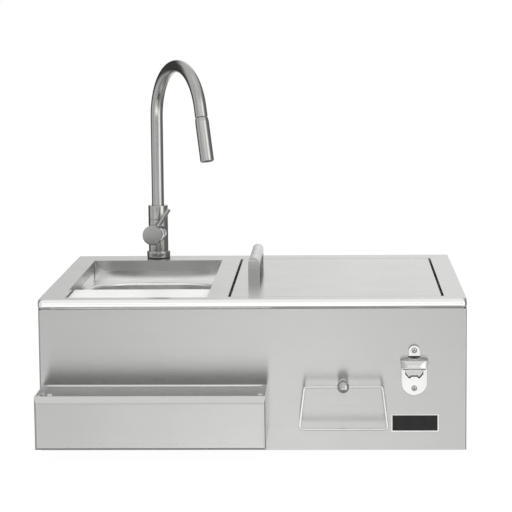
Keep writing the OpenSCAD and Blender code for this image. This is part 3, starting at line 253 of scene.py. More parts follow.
# Housing
# Deck, wrapped front and sides, rear panel, bottom pan and divider of 1.5 mm stainless sheet, bent on
# a press brake and brushed along the width. The deck's front edge is rolled over.
def new_group(name, takes, gives):
    """Shader node group with its inputs (name, kind, value) and outputs (name, kind)."""
    tree = bpy.data.node_groups.new(name, "ShaderNodeTree")
    for socket, kind, value in takes:
        made = tree.interface.new_socket(name=socket, in_out="INPUT", socket_type="NodeSocket" + kind)
        if value is not None:
            made.default_value = value
    for socket, kind in gives:
        tree.interface.new_socket(name=socket, in_out="OUTPUT", socket_type="NodeSocket" + kind)
    return tree, tree.nodes.new("NodeGroupInput").outputs, tree.nodes.new("NodeGroupOutput")


def noise(tree, place, scale, detail, **more):
    """Cloudy pattern from 0 to 1 over the place."""
    inputs = {"Vector": place, "Scale": scale, "Detail": detail, **more}
    return put(tree, "TexNoise", inputs).outputs[0]


def relief(tree, height, strength, depth, **settings):
    """Normal of a face that a pattern of heights lifts by up to the depth."""
    inputs = {"Height": height, "Strength": strength, "Distance": depth}
    return put(tree, "Bump", inputs, **settings).outputs[0]


def end_faces(tree):
    """1 on faces that look along X in the piece's own frame, 0 on the others."""
    facing = put(tree, "SeparateXYZ", {0: put(tree, "TexCoord").outputs["Normal"]}).outputs["X"]
    return reckon(tree, "GREATER_THAN", reckon(tree, "ABSOLUTE", facing), 0.7)


def build_grain():
    """Brushing: noise drawn out along X on level and front faces and along Y on the end faces."""
    takes = [("Place", "Vector", None), ("Across", "Float", 900), ("Along", "Float", 9),
             ("Depth", "Float", 0.1)]
    tree, inp, out = new_group("brushed_grain", takes, [("Streak", "Float"), ("Height", "Float")])
    side = end_faces(tree)
    level = put(tree, "CombineXYZ", {0: inp["Along"], 1: inp["Across"], 2: inp["Across"]}).outputs[0]
    end = put(tree, "CombineXYZ", {0: inp["Across"], 1: inp["Along"], 2: inp["Across"]}).outputs[0]
    scale = put(tree, "Mix", {0: side, 4: level, 5: end}, data_type="VECTOR").outputs[1]
    place = vectors(tree, "MULTIPLY", inp["Place"], scale)
    fine = noise(tree, place, 1, 3, Roughness=0.6)
    wide = put(tree, "VectorMath", {0: place, "Scale": 0.11}, operation="SCALE").outputs[0]
    broad = noise(tree, wide, 1, 2)
    streak = between(tree, 0.35, fine, broad)
    height = reckon(tree, "MULTIPLY", fine, inp["Depth"])
    tree.links.new(streak, out.inputs["Streak"])
    tree.links.new(height, out.inputs["Height"])
    return tree


def build_haze():
    """Cloudy film that wiping leaves on metal: broad soft patches broken by small ones."""
    takes = [("Place", "Vector", None), ("Scale", "Float", 7)]
    tree, inp, out = new_group("wiped_haze", takes, [("Cloud", "Float"), ("Smear", "Float")])
    broad = noise(tree, inp["Place"], inp["Scale"], 3)
    finer = reckon(tree, "MULTIPLY", inp["Scale"], 6)
    small = noise(tree, inp["Place"], finer, 4, Distortion=1.2)
    cloud = between(tree, 0.4, broad, small)
    tree.links.new(ramp(tree, cloud, 0.36, 0.66), out.inputs["Cloud"])
    tree.links.new(ramp(tree, small, 0.52, 0.72), out.inputs["Smear"])
    return tree


def build_scuffs():
    """Hairline scratches: thin lines where a drawn-out, turned noise passes its middle value."""
    takes = [("Place", "Vector", None), ("Scale", "Float", 40), ("Width", "Float", 0.01)]
    tree, inp, out = new_group("hair_scuffs", takes, [("Line", "Float")])
    lines = 0.0
    for turned in (0.5, 2.1, -0.8):
        spun = put(tree, "VectorRotate", {"Vector": inp["Place"], "Angle": turned, "Axis": (0.3, 0.5, 0.8)})
        drawn = vectors(tree, "MULTIPLY", spun.outputs[0], (1, 0.06, 1))
        off = reckon(tree, "SUBTRACT", noise(tree, drawn, inp["Scale"], 1), 0.5)
        off = reckon(tree, "ABSOLUTE", off)
        line = reckon(tree, "LESS_THAN", off, inp["Width"])
        lines = reckon(tree, "MAXIMUM", lines, line)
    gate = reckon(tree, "GREATER_THAN", noise(tree, inp["Place"], 22, 1), 0.6)
    tree.links.new(reckon(tree, "MULTIPLY", lines, gate), out.inputs["Line"])
    return tree


def build_dust():
    """Thin dust on faces that look up, thicker in patches."""
    takes = [("Place", "Vector", None), ("Amount", "Float", 0.1)]
    tree, inp, out = new_group("settled_dust", takes, [("Mask", "Float")])
    facing = put(tree, "SeparateXYZ", {0: put(tree, "TexCoord").outputs["Normal"]}).outputs["Z"]
    upward = ramp(tree, facing, 0.5, 0.98)
    patches = ramp(tree, noise(tree, inp["Place"], 26, 6, Roughness=0.7), 0.3, 0.75)
    amount = reckon(tree, "MULTIPLY", patches, inp["Amount"])
    tree.links.new(reckon(tree, "MULTIPLY", upward, amount), out.inputs["Mask"])
    return tree


grain_group = build_grain()
haze_group = build_haze()
scuff_group = build_scuffs()
dust_group = build_dust()


def use(tree, group, **values):
    """Places a node group in a material with its own values and gives back its outputs."""
    node = put(tree, "Group", node_tree=group)
    feed(tree, node, values)
    return node.outputs


def new_material(name):
    """Empty material, its node tree and the Object coordinates that its patterns are laid on."""
    material = bpy.data.materials.new(name)
    material.use_nodes = True
    tree = material.node_tree
    tree.nodes.clear()
    return material, tree, put(tree, "TexCoord").outputs["Object"]


def tint(tree, factor, first, second):
    """Blend of two colours or of a colour output and a colour."""
    ends = {6: first, 7: second}
    ends = {k: v if isinstance(v, bpy.types.NodeSocket) else (*v, 1) for k, v in ends.items()}
    return put(tree, "Mix", {0: factor, **ends}, data_type="RGBA").outputs[2]


dust_colour = (0.72, 0.71, 0.68)


def finish(tree, colour, rub, bump, metallic=0.0):
    """Shader of a piece's surface, joined to the output."""
    inputs = {"Base Color": colour, "Roughness": rub, "Metallic": metallic, "Normal": bump}
    shader = put(tree, "BsdfPrincipled", inputs)
    put(tree, "OutputMaterial", {"Surface": shader.outputs[0]})
    return shader


def finish_metal(tree, place, base, rub, bump, dusty):
    """Shader of a metal with dust over its colour."""
    dust = use(tree, dust_group, Place=place, Amount=dusty)["Mask"]
    bare = reckon(tree, "SUBTRACT", 1, dust)
    return finish(tree, tint(tree, dust, base, dust_colour), rub, bump, bare)


def brushed_metal(name, dark, light, smooth, rough, depth, across=900.0, along=9.0, dusty=0.03, directed=0.0,
                  zones=()):
    """Brushed metal: grain in colour, roughness and bump, with wiped haze and a few hairlines. Each zone
    gives the Y where another colour begins, the Y where it is full, its colour and its roughness; these
    lighter colours are painted highlight and painted light."""
    material, tree, place = new_material(name)
    grain = use(tree, grain_group, Place=place, Across=across, Along=along, Depth=1.0)
    haze = use(tree, haze_group, Place=place)
    line = use(tree, scuff_group, Place=place, Scale=34.0, Width=0.0012)["Line"]
    base = tint(tree, grain["Streak"], dark, light)
    rub = between(tree, haze["Cloud"], smooth, rough)
    rub = between(tree, line, rub, rough + 0.02)
    for begin, full, colour, zone_rough in zones:
        share = ramp(tree, put(tree, "SeparateXYZ", {0: place}).outputs["Y"], begin, full)
        base = tint(tree, share, base, colour)
        rub = between(tree, share, rub, zone_rough)
    bump = relief(tree, grain["Height"], 1, depth)
    shader = finish_metal(tree, place, base, rub, bump, dusty)
    shader.inputs["Anisotropic"].default_value = directed
    shader.inputs["Anisotropic Rotation"].default_value = 0.25
    # The grain runs along X, and along Y on the end faces; highlights are drawn out square to it
    drawn = {0: end_faces(tree), 4: (1, 0, 0), 5: (0, 1, 0)}
    drawn = put(tree, "Mix", drawn, data_type="VECTOR").outputs[1]
    in_world = put(tree, "VectorTransform", {0: drawn}, convert_from="OBJECT", convert_to="WORLD")
    tree.links.new(in_world.outputs[0], shader.inputs["Tangent"])
    return material


def dress(material, *names):
    """Gives CAD nodes a material in place of the plain one that they came with."""
    for name in names:
        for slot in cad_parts[name].material_slots:
            slot.material = material


# The rolled nose is polished, and its much lighter colour is a painted highlight along the roll
nose_polish_and_highlight = (-0.3015, -0.3045, (0.94, 0.94, 0.93), 0.15)
deck_steel = brushed_metal("deck_steel", (0.545, 0.545, 0.535), (0.585, 0.585, 0.575), 0.24, 0.27, 0.00004,
                           dusty=0.01, directed=0.8, zones=[nose_polish_and_highlight])
wrap_steel = brushed_metal("wrap_steel", (0.445, 0.445, 0.435), (0.485, 0.485, 0.475), 0.2, 0.22, 0.00004,
                           dusty=0.0, directed=0.98)
mill_steel = brushed_metal("mill_steel", (0.4, 0.41, 0.41), (0.5, 0.5, 0.5), 0.4, 0.55, 0.0002, 300.0, 30.0,
                           0.2)
dress(deck_steel, "deck")
dress(wrap_steel, "housing_wrap")
dress(mill_steel, "rear_panel", "bottom_pan", "divider_panel")


# Rear screws
# Pan-head screws of bright stainless, cold headed and polished, that hold the rear panel to the flanges
# of the wrap.
def bright_metal(name, base, smooth, rough, dusty=0.02, scale=12.0):
    """Polished metal: nearly even colour, with haze that dulls it in patches and faint hairlines."""
    material, tree, place = new_material(name)
    haze = use(tree, haze_group, Place=place, Scale=scale)
    line = use(tree, scuff_group, Place=place, Scale=60.0, Width=0.005)["Line"]
    worn = tuple(0.93 * c for c in base)
    colour = tint(tree, haze["Smear"], base, worn)
    rub = between(tree, haze["Cloud"], smooth, rough)
    rub = between(tree, line, rub, rough + 0.06)
    bump = relief(tree, haze["Cloud"], 0.1, 0.0001)
    finish_metal(tree, place, colour, rub, bump, dusty)
    return material


bright_steel = bright_metal("bright_steel", (0.72, 0.72, 0.71), 0.07, 0.13)
dress(bright_steel, "rear_screws")


# Sink walls and bowl
# The walls round the sink opening are polished like a mirror; the bowl is deep drawn and has a satin
# finish, with a rolled rim and a wide radius between its walls and floor.
collar_steel = brushed_metal("collar_steel", (0.8, 0.8, 0.79), (0.86, 0.86, 0.85), 0.13, 0.19, 0.00002,
                             directed=0.9)
bowl_steel = bright_metal("bowl_steel", (0.92, 0.92, 0.91), 0.3, 0.36, 0.02, 9.0)
dress(collar_steel, "sink_collar", "board_brackets")
dress(bowl_steel, "sink_bowl")


# Sink waste
# Strainer body, basket with its knob and tailpiece of bright steel, nuts of turned brass, and a flat
# gasket and a basket stopper of black rubber.
def rubber(name, base, rough):
    """Black rubber: faint mottling, a fine pitted bump and a little pale bloom where it faces up."""
    material, tree, place = new_material(name)
    mottle = noise(tree, place, 240, 5)
    pits = put(tree, "TexVoronoi", {"Vector": place, "Scale": 1500}).outputs["Distance"]
    dust = use(tree, dust_group, Place=place, Amount=0.25)["Mask"]
    colour = tint(tree, mottle, base, tuple(1.7 * c for c in base))
    colour = tint(tree, dust, colour, (0.3, 0.3, 0.29))
    rub = ramp(tree, mottle, 0.3, 0.7, rough - 0.08, rough + 0.08)
    bump = relief(tree, pits, 0.3, 0.0001)
    finish(tree, colour, rub, bump)
    return material


black_rubber = rubber("black_rubber", (0.018, 0.018, 0.018), 0.62)
turned_brass = brushed_metal("turned_brass", (0.55, 0.4, 0.17), (0.68, 0.52, 0.25), 0.25, 0.42, 0.0001, 500.0,
                             60.0, 0.1)
dress(bright_steel, "drain_flange", "drain_tailpiece", "strainer_basket")
dress(turned_brass, "drain_locknut", "tail_nut")
dress(black_rubber, "drain_gasket", "basket_stopper")


# Cutting board
# A loose slab of white polyethylene that lies on two brackets across the front of the sink. Its edges
# are routed round and its faces carry fine knife marks.

# Points nearer than this, in metres, are one point, and edges sharper than this angle stay crisp
weld, crisp_angle = 1e-6, math.radians(32)


def skin(name, points, material, body, wrap_rows=False):
    """Mesh over a grid of points, rows by columns, whose columns close on themselves. Rows close too
    with wrap_rows, and otherwise the first and last rows are closed by a fan to their middle."""
    rows, cols = points.shape[:2]
    index = np.arange(rows * cols).reshape(rows, cols)
    low = index if wrap_rows else index[:-1]
    high = np.roll(index, -1, 0) if wrap_rows else index[1:]
    quads = np.stack([low, np.roll(low, -1, 1), np.roll(high, -1, 1), high], -1).reshape(-1, 4)
    verts = points.reshape(-1, 3)
    faces = quads.tolist()
    if not wrap_rows:
        for k, ring in ((0, index[0]), (1, index[-1])):
            middle = np.full(cols, len(verts))
            verts = np.vstack([verts, points[-k].mean(0)[None]])
            faces += np.stack([ring, np.roll(ring, -1), middle], -1).tolist()
    mesh = bpy.data.meshes.new(name)
    mesh.from_pydata(verts.tolist(), [], faces)
    made = bmesh.new()
    made.from_mesh(mesh)
    bmesh.ops.remove_doubles(made, verts=made.verts, dist=weld)
    bmesh.ops.recalc_face_normals(made, faces=made.faces)
    made.to_mesh(mesh)
    made.free()
    mesh.shade_smooth()
    mesh.set_sharp_from_angle(angle=crisp_angle)
    mesh.materials.append(material)
    piece = bpy.data.objects.new(name, mesh)
    bpy.context.scene.collection.objects.link(piece)
    if body:
        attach(piece, body)
    return piece


def soften(corners, radius, steps=5):
    """Polyline with its inner corners rounded: each becomes a quadratic curve that touches both sides."""
    corners = [np.array(c, float) for c in corners]
    line = [corners[0]]
    for before, at, after in zip(corners, corners[1:], corners[2:]):
        a, b = before - at, after - at
        half = 0.5 * math.acos(np.clip(a @ b / np.linalg.norm(a) / np.linalg.norm(b), -1, 1))
        reach = min(radius / math.tan(half), 0.49 * np.linalg.norm(a), 0.49 * np.linalg.norm(b))
        a, b = a / np.linalg.norm(a), b / np.linalg.norm(b)
        t = np.linspace(0, 1, steps)[:, None]
        line += list((1 - t) ** 2 * (at + reach * a) + 2 * t * (1 - t) * at + t ** 2 * (at + reach * b))
    return np.array(line + [corners[-1]])


def round_outline(width, length, radius, inset, steps=9):
    """Rectangle with round corners, drawn in by inset all round, counter-clockwise."""
    r = max(radius - inset, 1e-4)
    turn = np.linspace(0, math.pi / 2, steps)
    arc = np.stack([np.cos(turn), np.sin(turn)], -1) * r
    parts = []
    for k, (sx, sy) in enumerate(((1, 1), (-1, 1), (-1, -1), (1, -1))):
        spin = np.array([[math.cos(k * math.pi / 2), math.sin(k * math.pi / 2)],
                         [-math.sin(k * math.pi / 2), math.cos(k * math.pi / 2)]])
        parts.append(arc @ spin + [sx * (width / 2 - inset - r), sy * (length / 2 - inset - r)])
    return np.concatenate(parts)


def slab_points(low, high, corner, edge, steps=6):
    """Rings of a slab between two box corners: its outline drawn in along a quarter circle at the
    bottom and at the top edge."""
    width, length, height = (high[k] - low[k] for k in range(3))
    turn = np.linspace(0, math.pi / 2, steps)
    inset = edge * (1 - np.sin(turn))
    rise = edge * (1 - np.cos(turn))
    insets = np.concatenate([[corner + edge], inset, inset[::-1], [corner + edge]])
    heights = np.concatenate([[0], rise, height - rise[::-1], [height]])
    outlines = np.array([round_outline(width, length, corner, drawn_in) for drawn_in in insets])
    levels = np.broadcast_to(heights[:, None, None], (*outlines.shape[:2], 1))
    rings = np.concatenate([outlines, levels], -1)
    return rings + [(low[0] + high[0]) / 2, (low[1] + high[1]) / 2, low[2]]


def board_plastic():
    """White polyethylene: a warm white with a soft sheen and crossing knife marks in the bump."""
    material, tree, place = new_material("board_white")
    marks = use(tree, scuff_group, Place=place, Scale=26.0, Width=0.004)["Line"]
    blotch = noise(tree, place, 18, 5)
    colour = tint(tree, ramp(tree, blotch, 0.35, 0.7), (0.86, 0.86, 0.84), (0.82, 0.82, 0.795))
    colour = tint(tree, marks, colour, (0.79, 0.79, 0.765))
    grainy = noise(tree, place, 900, 3)
    cuts = reckon(tree, "SUBTRACT", grainy, marks)
    bump = relief(tree, cuts, 0.35, 0.00015)
    rub = ramp(tree, blotch, 0.3, 0.7, 0.34, 0.44)
    shader = finish(tree, colour, rub, bump)
    shader.inputs["Subsurface Weight"].default_value = 0.05
    shader.inputs["Subsurface Scale"].default_value = 0.004
    return material


board_low, board_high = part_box("cutting_board")
board_corner_r, board_edge_r = 0.003, 0.0016
board_points = slab_points(board_low, board_high, board_corner_r, board_edge_r)
board = skin("board_slab", board_points, board_plastic(), "board")
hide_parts("cutting_board")


# Ice chest
# Walls, drawn liner with a rolled rim and a drain pipe of stainless, foam round the liner, and a rubber
# plug with a pull ring in the drain.
def foam_plastic():
    """Poured foam: cream colour, open cells in the bump and darker pits."""
    material, tree, place = new_material("cream_foam")
    cells = put(tree, "TexVoronoi", {"Vector": place, "Scale": 420}).outputs["Distance"]
    cloud = noise(tree, place, 14, 4)
    colour = tint(tree, cloud, (0.78, 0.7, 0.47), (0.86, 0.79, 0.58))
    colour = tint(tree, ramp(tree, cells, 0.0, 0.35, 0.35, 0.0), colour, (0.5, 0.42, 0.25))
    bump = relief(tree, cells, 0.6, 0.0008)
    rub = ramp(tree, cells, 0, 1, 0.95, 0.8)
    finish(tree, colour, rub, bump)
    return material


cream_foam = foam_plastic()
dress(wrap_steel, "chest_collar")
dress(bowl_steel, "chest_liner")
dress(cream_foam, "chest_insulation", "lid_core")
dress(bright_steel, "chest_drain")
dress(turned_brass, "chest_drain_nut")
dress(black_rubber, "chest_plug")


# Lid
# Stainless skin folded over a foam core and an inner pan, with a black seal under it, pins and nylon
# bushes of its hinge at the right, and a bridge handle screwed on from inside.
def moulded(name, base, rough):
    """Moulded engineering plastic: even colour with a fine spark-eroded texture."""
    material, tree, place = new_material(name)
    skin_noise = noise(tree, place, 1300, 4)
    haze = use(tree, haze_group, Place=place, Scale=30.0)["Cloud"]
    colour = tint(tree, haze, base, tuple(0.85 * c for c in base))
    rub = ramp(tree, haze, 0, 1, rough, rough + 0.1)
    bump = relief(tree, skin_noise, 0.3, 0.00008)
    finish(tree, colour, rub, bump)
    return material


nylon = moulded("pale_nylon", (0.45, 0.46, 0.47), 0.4)
dark_nylon = moulded("dark_nylon", (0.05, 0.05, 0.055), 0.38)
dress(deck_steel, "lid_skin")
dress(bowl_steel, "lid_pan")
dress(black_rubber, "lid_gasket")
satin_bar = brushed_metal("satin_bar", (0.44, 0.44, 0.43), (0.5, 0.5, 0.49), 0.24, 0.3, 0.00004, dusty=0.01)
dress(satin_bar, "lid_handle")
dress(bright_steel, "lid_hinge_pins", "lid_handle_screws")
dress(nylon, "lid_bushes")


# Faucet
# Turned and bent brass, finished in satin nickel: base ring on a black seal, fixed body with the hub's
# boss, swivel sleeve and gooseneck. The shank, washer and nut clamp it under the deck.
def nickel_finish():
    """Satin nickel: a soft brushed sheen that follows the turning, a little warmer than the steel."""
    material, tree, place = new_material("satin_nickel")
    turning = use(tree, grain_group, Place=place, Across=1400.0, Along=60.0, Depth=1.0)
    haze = use(tree, haze_group, Place=place, Scale=20.0)
    colour = tint(tree, turning["Streak"], (0.44, 0.437, 0.425), (0.52, 0.516, 0.504))
    rub = between(tree, haze["Cloud"], 0.15, 0.21)
    bump = relief(tree, turning["Height"], 1, 0.00001)
    finish_metal(tree, place, colour, rub, bump, 0.02)
    return material


nickel = nickel_finish()

# Foot of the riser's axis, at the height of the floor that the unit stands on
faucet_foot = np.array([-0.213, 0.278, 0.0])


def turned(profile, place, axis=(0, 0, 1), steps=72):
    """Turned piece: every (radius, height) of the profile is swung round the axis through place."""
    axis = np.array(axis) / np.linalg.norm(axis)
    side = np.cross(axis, (0, 1, 0) if abs(axis[1]) < 0.7 else (0, 0, 1))
    side = side / np.linalg.norm(side)
    angle = np.linspace(0, 2 * math.pi, steps, endpoint=False)
    ring = np.cos(angle)[:, None] * side + np.sin(angle)[:, None] * np.cross(axis, side)
    radius, height = np.array(profile).T
    return np.array(place) + radius[:, None, None] * ring + height[:, None, None] * axis


base_r, shank_r = 0.02375, 0.017
seal_top, ring_top = 0.2764, 0.289
ring_edge_r = 0.0011
ring_profile = [(shank_r, seal_top), (base_r, seal_top), (base_r, ring_top), (shank_r, ring_top)]
ring_points = turned(soften(ring_profile, ring_edge_r), faucet_foot)
base_ring = skin("base_ring", ring_points, nickel, "housing", wrap_rows=True)
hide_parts("faucet_base_ring")

sleeve_r, swivel_r = 0.02, 0.01505
sleeve_low, sleeve_high = (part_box("swivel_sleeve")[k][2] for k in (0, 1))
swivel_depth = 0.0185
swivel_top = sleeve_low + swivel_depth
neck_r, neck_bore = 0.0125, 0.01
sleeve_edge_r = 0.0009
sleeve_profile = [(swivel_r, swivel_top), (swivel_r, sleeve_low), (sleeve_r, sleeve_low),
                  (sleeve_r, sleeve_high), (neck_r, sleeve_high), (neck_r, swivel_top)]
sleeve_points = turned(soften(sleeve_profile, sleeve_edge_r), faucet_foot)
sleeve = skin("swivel_collar", sleeve_points, nickel, "spout", wrap_rows=True)
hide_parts("swivel_sleeve")

# The neck stands in the sleeve, rises straight, turns over an arc and runs on straight to its mouth
spout_azimuth = math.radians(28.7)
spout_reach = np.array([math.sin(spout_azimuth), -math.cos(spout_azimuth), 0])
arc_r, arc_turn, outlet_length = 0.107, math.radians(164), 0.02
spring_height = 0.5625
neck_gap = 0.0005
upward = np.array([0, 0, 1.0])
outlet_axis = math.sin(arc_turn) * spout_reach + math.cos(arc_turn) * upward


def neck_line():
    """Middle line of the neck: riser, arc about a centre one radius ahead of it, straight outlet."""
    riser = faucet_foot + np.linspace(swivel_top + neck_gap, spring_height, 24)[:, None] * upward
    angle = np.linspace(0, arc_turn, 90)[1:, None]
    centre = faucet_foot + spring_height * upward + arc_r * spout_reach
    arc = centre + arc_r * (np.sin(angle) * upward - np.cos(angle) * spout_reach)
    outlet = arc[-1] + np.linspace(0, outlet_length, 8)[1:, None] * outlet_axis
    return np.concatenate([riser, arc, outlet])


def carried(line, radius, normal, steps=48, closed=False):
    """Tube: a circle of the radius stands square to a flat line at each of its points. The normal is that
    of the plane in which the line lies, so the circles don't twist."""
    if closed:
        along = np.roll(line, -1, 0) - np.roll(line, 1, 0)
    else:
        along = np.gradient(line, axis=0)
    along = along / np.linalg.norm(along, axis=1)[:, None]
    inward = np.cross(along, normal)
    angle = np.linspace(0, 2 * math.pi, steps, endpoint=False)[None, :, None]
    radius = np.broadcast_to(radius, len(line))[:, None, None]
    return line[:, None] + radius * (np.cos(angle) * np.array(normal) + np.sin(angle) * inward[:, None])


neck_middle = neck_line()
outlet_mouth = neck_middle[-1]
neck_plane = np.cross(upward, spout_reach)
rim = np.linspace(0, math.pi / 2, 5)
lip = 0.0007
# Both rims are worked out towards the mouth, so that their rings run the same way round
rim_line = outlet_mouth - lip * (1 - np.sin(rim))[:, None] * outlet_axis
rim_out = carried(rim_line, neck_r - lip * (1 - np.cos(rim)), neck_plane)
rim_in = carried(rim_line, neck_bore + lip * (1 - np.cos(rim)), neck_plane)[::-1]
outside = carried(neck_middle[:-1], neck_r, neck_plane)
inside = carried(neck_middle[:-1], neck_bore, neck_plane)[::-1]
neck_points = np.concatenate([outside, rim_out, rim_in, inside])
neck = skin("neck_tube", neck_points, nickel, "spout", wrap_rows=True)
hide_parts("gooseneck")

# Lever hub: its axis points out of the body, the lever leans to the right of the vertical
hub_azimuth, lever_lean = math.radians(-7.7), math.radians(32)
hub_axis = np.array([math.sin(hub_azimuth), -math.cos(hub_azimuth), 0])
hub_right = np.array([math.cos(hub_azimuth), math.sin(hub_azimuth), 0])
lever_axis = math.sin(lever_lean) * hub_right + math.cos(lever_lean) * upward
hub_height = 0.327
hub_place = faucet_foot + hub_height * upward
cap_r, cup_r = 0.02, 0.0174
cap_back, cap_front, pivot_out = 0.036, 0.06, 0.038
cap_edge_r = 0.0016
bowl_angle = np.linspace(0.02, math.pi / 2, 12)
# Two more rings near the rim keep the face flat in its shading
cap_outside = soften([(0.0005, cap_front), (0.0165, cap_front), (0.0178, cap_front), (cap_r, cap_front),
                      (cap_r, cap_back), (cup_r, cap_back)], cap_edge_r)
cap_hollow = np.stack([cup_r * np.sin(bowl_angle), pivot_out + cup_r * np.cos(bowl_angle)], -1)[::-1]
cap_points = turned(np.concatenate([cap_outside, cap_hollow]), hub_place, hub_axis)
cap = skin("hub_cap", cap_points, nickel, "lever")
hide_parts("lever_cap")

# The stick: its foot in the cap, a small collar, and the shaft that widens a little to its flat end
rod_r, rod_out = 0.00425, 0.05
rod_foot, rod_end = 0.0165, 0.063
collar_low, collar_high = 0.0209, 0.0241
rod_edge_r = 0.0008
rod_profile = [(0.0002, rod_foot), (rod_r, rod_foot + 0.0001), (rod_r, collar_low - 0.0005),
               (rod_r + 0.0011, collar_low), (rod_r + 0.0012, collar_high),
               (rod_r + 0.0002, collar_high + 0.0009), (rod_r + 0.0003, rod_end), (0.0002, rod_end)]
rod_points = turned(soften(rod_profile, rod_edge_r), hub_place + rod_out * hub_axis, lever_axis, 40)
rod = skin("lever_stick", rod_points, nickel, "lever")
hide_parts("lever_rod")

# Spray head: flares from the neck's radius to its own, and is hollow from its mouth up
head_r, face_r, spigot_r = 0.0135, 0.011, 0.0092
head_start, head_length = 0.0015, 0.086
head_edge_r = 0.0007
head_profile = [(spigot_r, 0), (neck_r, 0), (neck_r + 0.0002, 0.0012), (head_r, 0.0075),
                (head_r, head_length), (face_r, head_length), (face_r, 0.008), (spigot_r, 0.004)]
head_place = outlet_mouth + head_start * outlet_axis
head_points = turned(soften(head_profile, head_edge_r), head_place, outlet_axis)
head = skin("spray_head", head_points, nickel, "spray", wrap_rows=True)
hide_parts("spray_shell")

dress(nickel, "faucet_body", "mix_dome")
dress(black_rubber, "faucet_base_seal")
dress(turned_brass, "faucet_shank", "faucet_nut")
dress(bright_steel, "faucet_washer", "tilt_pin")
dress(nylon, "valve_cartridge", "dock_ring", "spray_spigot")
dress(dark_nylon, "spray_face")


# Spray hose
# A smooth nylon hose inside the neck. It is drawn out of the outlet with the spray head; here it is
# a straight tube between the two.
hose_r = 0.005
hose_inside = 0.0335
# Lengths at its two ends that stay with the neck and with the spray head
hose_start = outlet_mouth - hose_inside * outlet_axis
hose_end = outlet_mouth + head_start * outlet_axis
hose_middle = np.linspace(hose_start, hose_end, 30)
hose = skin("spray_tube", carried(hose_middle, hose_r, neck_plane, 32), nylon, None)
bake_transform(hose)
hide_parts("spray_hose")


# Bottle rail
# A tray of stainless sheet with welded corners, a leaning lip and a hem at the rear. It is brushed along
# its length, with a painted highlight on the lip and painted light inside, and held to the front panel by two
# screws.
lip_painted_highlight = (-0.4096, -0.409, (0.57, 0.57, 0.56), 0.22)
inner_painted_light = (-0.4062, -0.405, (0.96, 0.96, 0.95), 0.24)
rail_steel = brushed_metal("rail_steel", (0.45, 0.45, 0.44), (0.49, 0.49, 0.48), 0.18, 0.21, 0.00004,
                           dusty=0.01, directed=0.95, zones=[lip_painted_highlight, inner_painted_light])
dress(rail_steel, "rail_tray")
dress(bright_steel, "rail_screws")


# Towel ring
# A post with a ball, turned from bright stainless and held by a nut behind the front panel, and a ring
# of bent wire, polished too, that swings in the ball.
pivot_low, pivot_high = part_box("towel_ring")
ring_top_w, ring_bottom_w, ring_height, wire_r = 0.137, 0.156, 0.076, 0.002
top_bend_r, low_bend_r = 0.005, 0.008
ring_middle = (pivot_low[0] + pivot_high[0]) / 2
ring_z = pivot_high[2] - wire_r
ring_y = (pivot_low[1] + pivot_high[1]) / 2


def ring_line():
    """Middle line of the ring: four straight sides joined by bends, tighter at the top."""
    corners = [(0, 0), (-ring_top_w / 2, 0), (-ring_bottom_w / 2, -ring_height), (0, -ring_height)]
    left = np.concatenate([soften(corners[:3], top_bend_r, 9)[:-1], soften(corners[1:], low_bend_r, 9)[1:]])
    right = left[::-1][1:-1] * [-1, 1]
    loop = np.concatenate([left, right])
    return np.column_stack([ring_middle + loop[:, 0], np.full(len(loop), ring_y), ring_z + loop[:, 1]])


wire_points = carried(ring_line(), wire_r, (0, 1, 0), 20, closed=True)
ring = skin("towel_bar", wire_points, bright_steel, "towel_ring", wrap_rows=True)
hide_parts("towel_ring")
dress(bright_steel, "towel_post_nut")


def merged_copy(node):
    """Copy of a node's mesh in which the points that its triangles share are one."""
    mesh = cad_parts[node].data.copy()
    made = bmesh.new()
    made.from_mesh(mesh)
    bmesh.ops.remove_doubles(made, verts=made.verts, dist=weld)
    made.to_mesh(mesh)
    made.free()
    return mesh


# The post's wall rose: the depth that it takes up in front of the panel, and the radius it is drawn in to
rose_depth, rose_r = 0.0055, 0.0085
panel_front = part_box("opener_body")[1][1]
post_middle = np.array([ring_middle, ring_z])


def slim_post():
    """The turned post, with each point of its wall rose that is further than rose_r from the axis moved
    in to that radius, so that the ball hides the rose."""
    mesh = merged_copy("towel_post")
    flat = np.empty(3 * len(mesh.vertices), np.float32)
    mesh.vertices.foreach_get("co", flat)
    points = flat.reshape(-1, 3).astype(float)
    away = points[:, ::2] - post_middle
    reach = np.linalg.norm(away, axis=1)
    rose = (reach > rose_r) & (points[:, 1] > panel_front - rose_depth)
    points[rose, ::2] = post_middle + away[rose] * (rose_r / reach[rose])[:, None]
    mesh.vertices.foreach_set("co", points.astype(np.float32).ravel())
    mesh.update()
    mesh.shade_smooth()
    mesh.set_sharp_from_angle(angle=crisp_angle)
    mesh.materials.clear()
    # The post's steel is a darker copy of the ring's polished steel, painting shade on its ball
    mesh.materials.append(bright_metal("post_steel_painted_shade", (0.5, 0.5, 0.49), 0.06, 0.1))
    return mesh


post = bpy.data.objects.new("ring_post", slim_post())
bpy.context.scene.collection.objects.link(post)
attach(post, "housing")
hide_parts("towel_post")


# Bottle opener
# Cast in one piece with a bowed hood over its mouth, barrel plated, and held by two screws. Its edges
# are softened as tumbling leaves them.
def stroke(tree, place, start, end, half_width):
    """Soft mask of a line drawn on the front from start to end, each an (X, Z)."""
    span = (end[0] - start[0], 0, end[1] - start[1])
    scale = 1 / (span[0] ** 2 + span[2] ** 2)
    off = vectors(tree, "SUBTRACT", place, (start[0], 0, start[1]))
    off = vectors(tree, "MULTIPLY", off, (1, 0, 1))
    along = vectors(tree, "DOT_PRODUCT", off, span)
    along = reckon(tree, "MULTIPLY", along, scale, use_clamp=True)
    foot = put(tree, "VectorMath", {0: span, "Scale": along}, operation="SCALE").outputs[0]
    gap = vectors(tree, "DISTANCE", off, foot)
    return ramp(tree, gap, 0.5 * half_width, half_width, 1, 0)


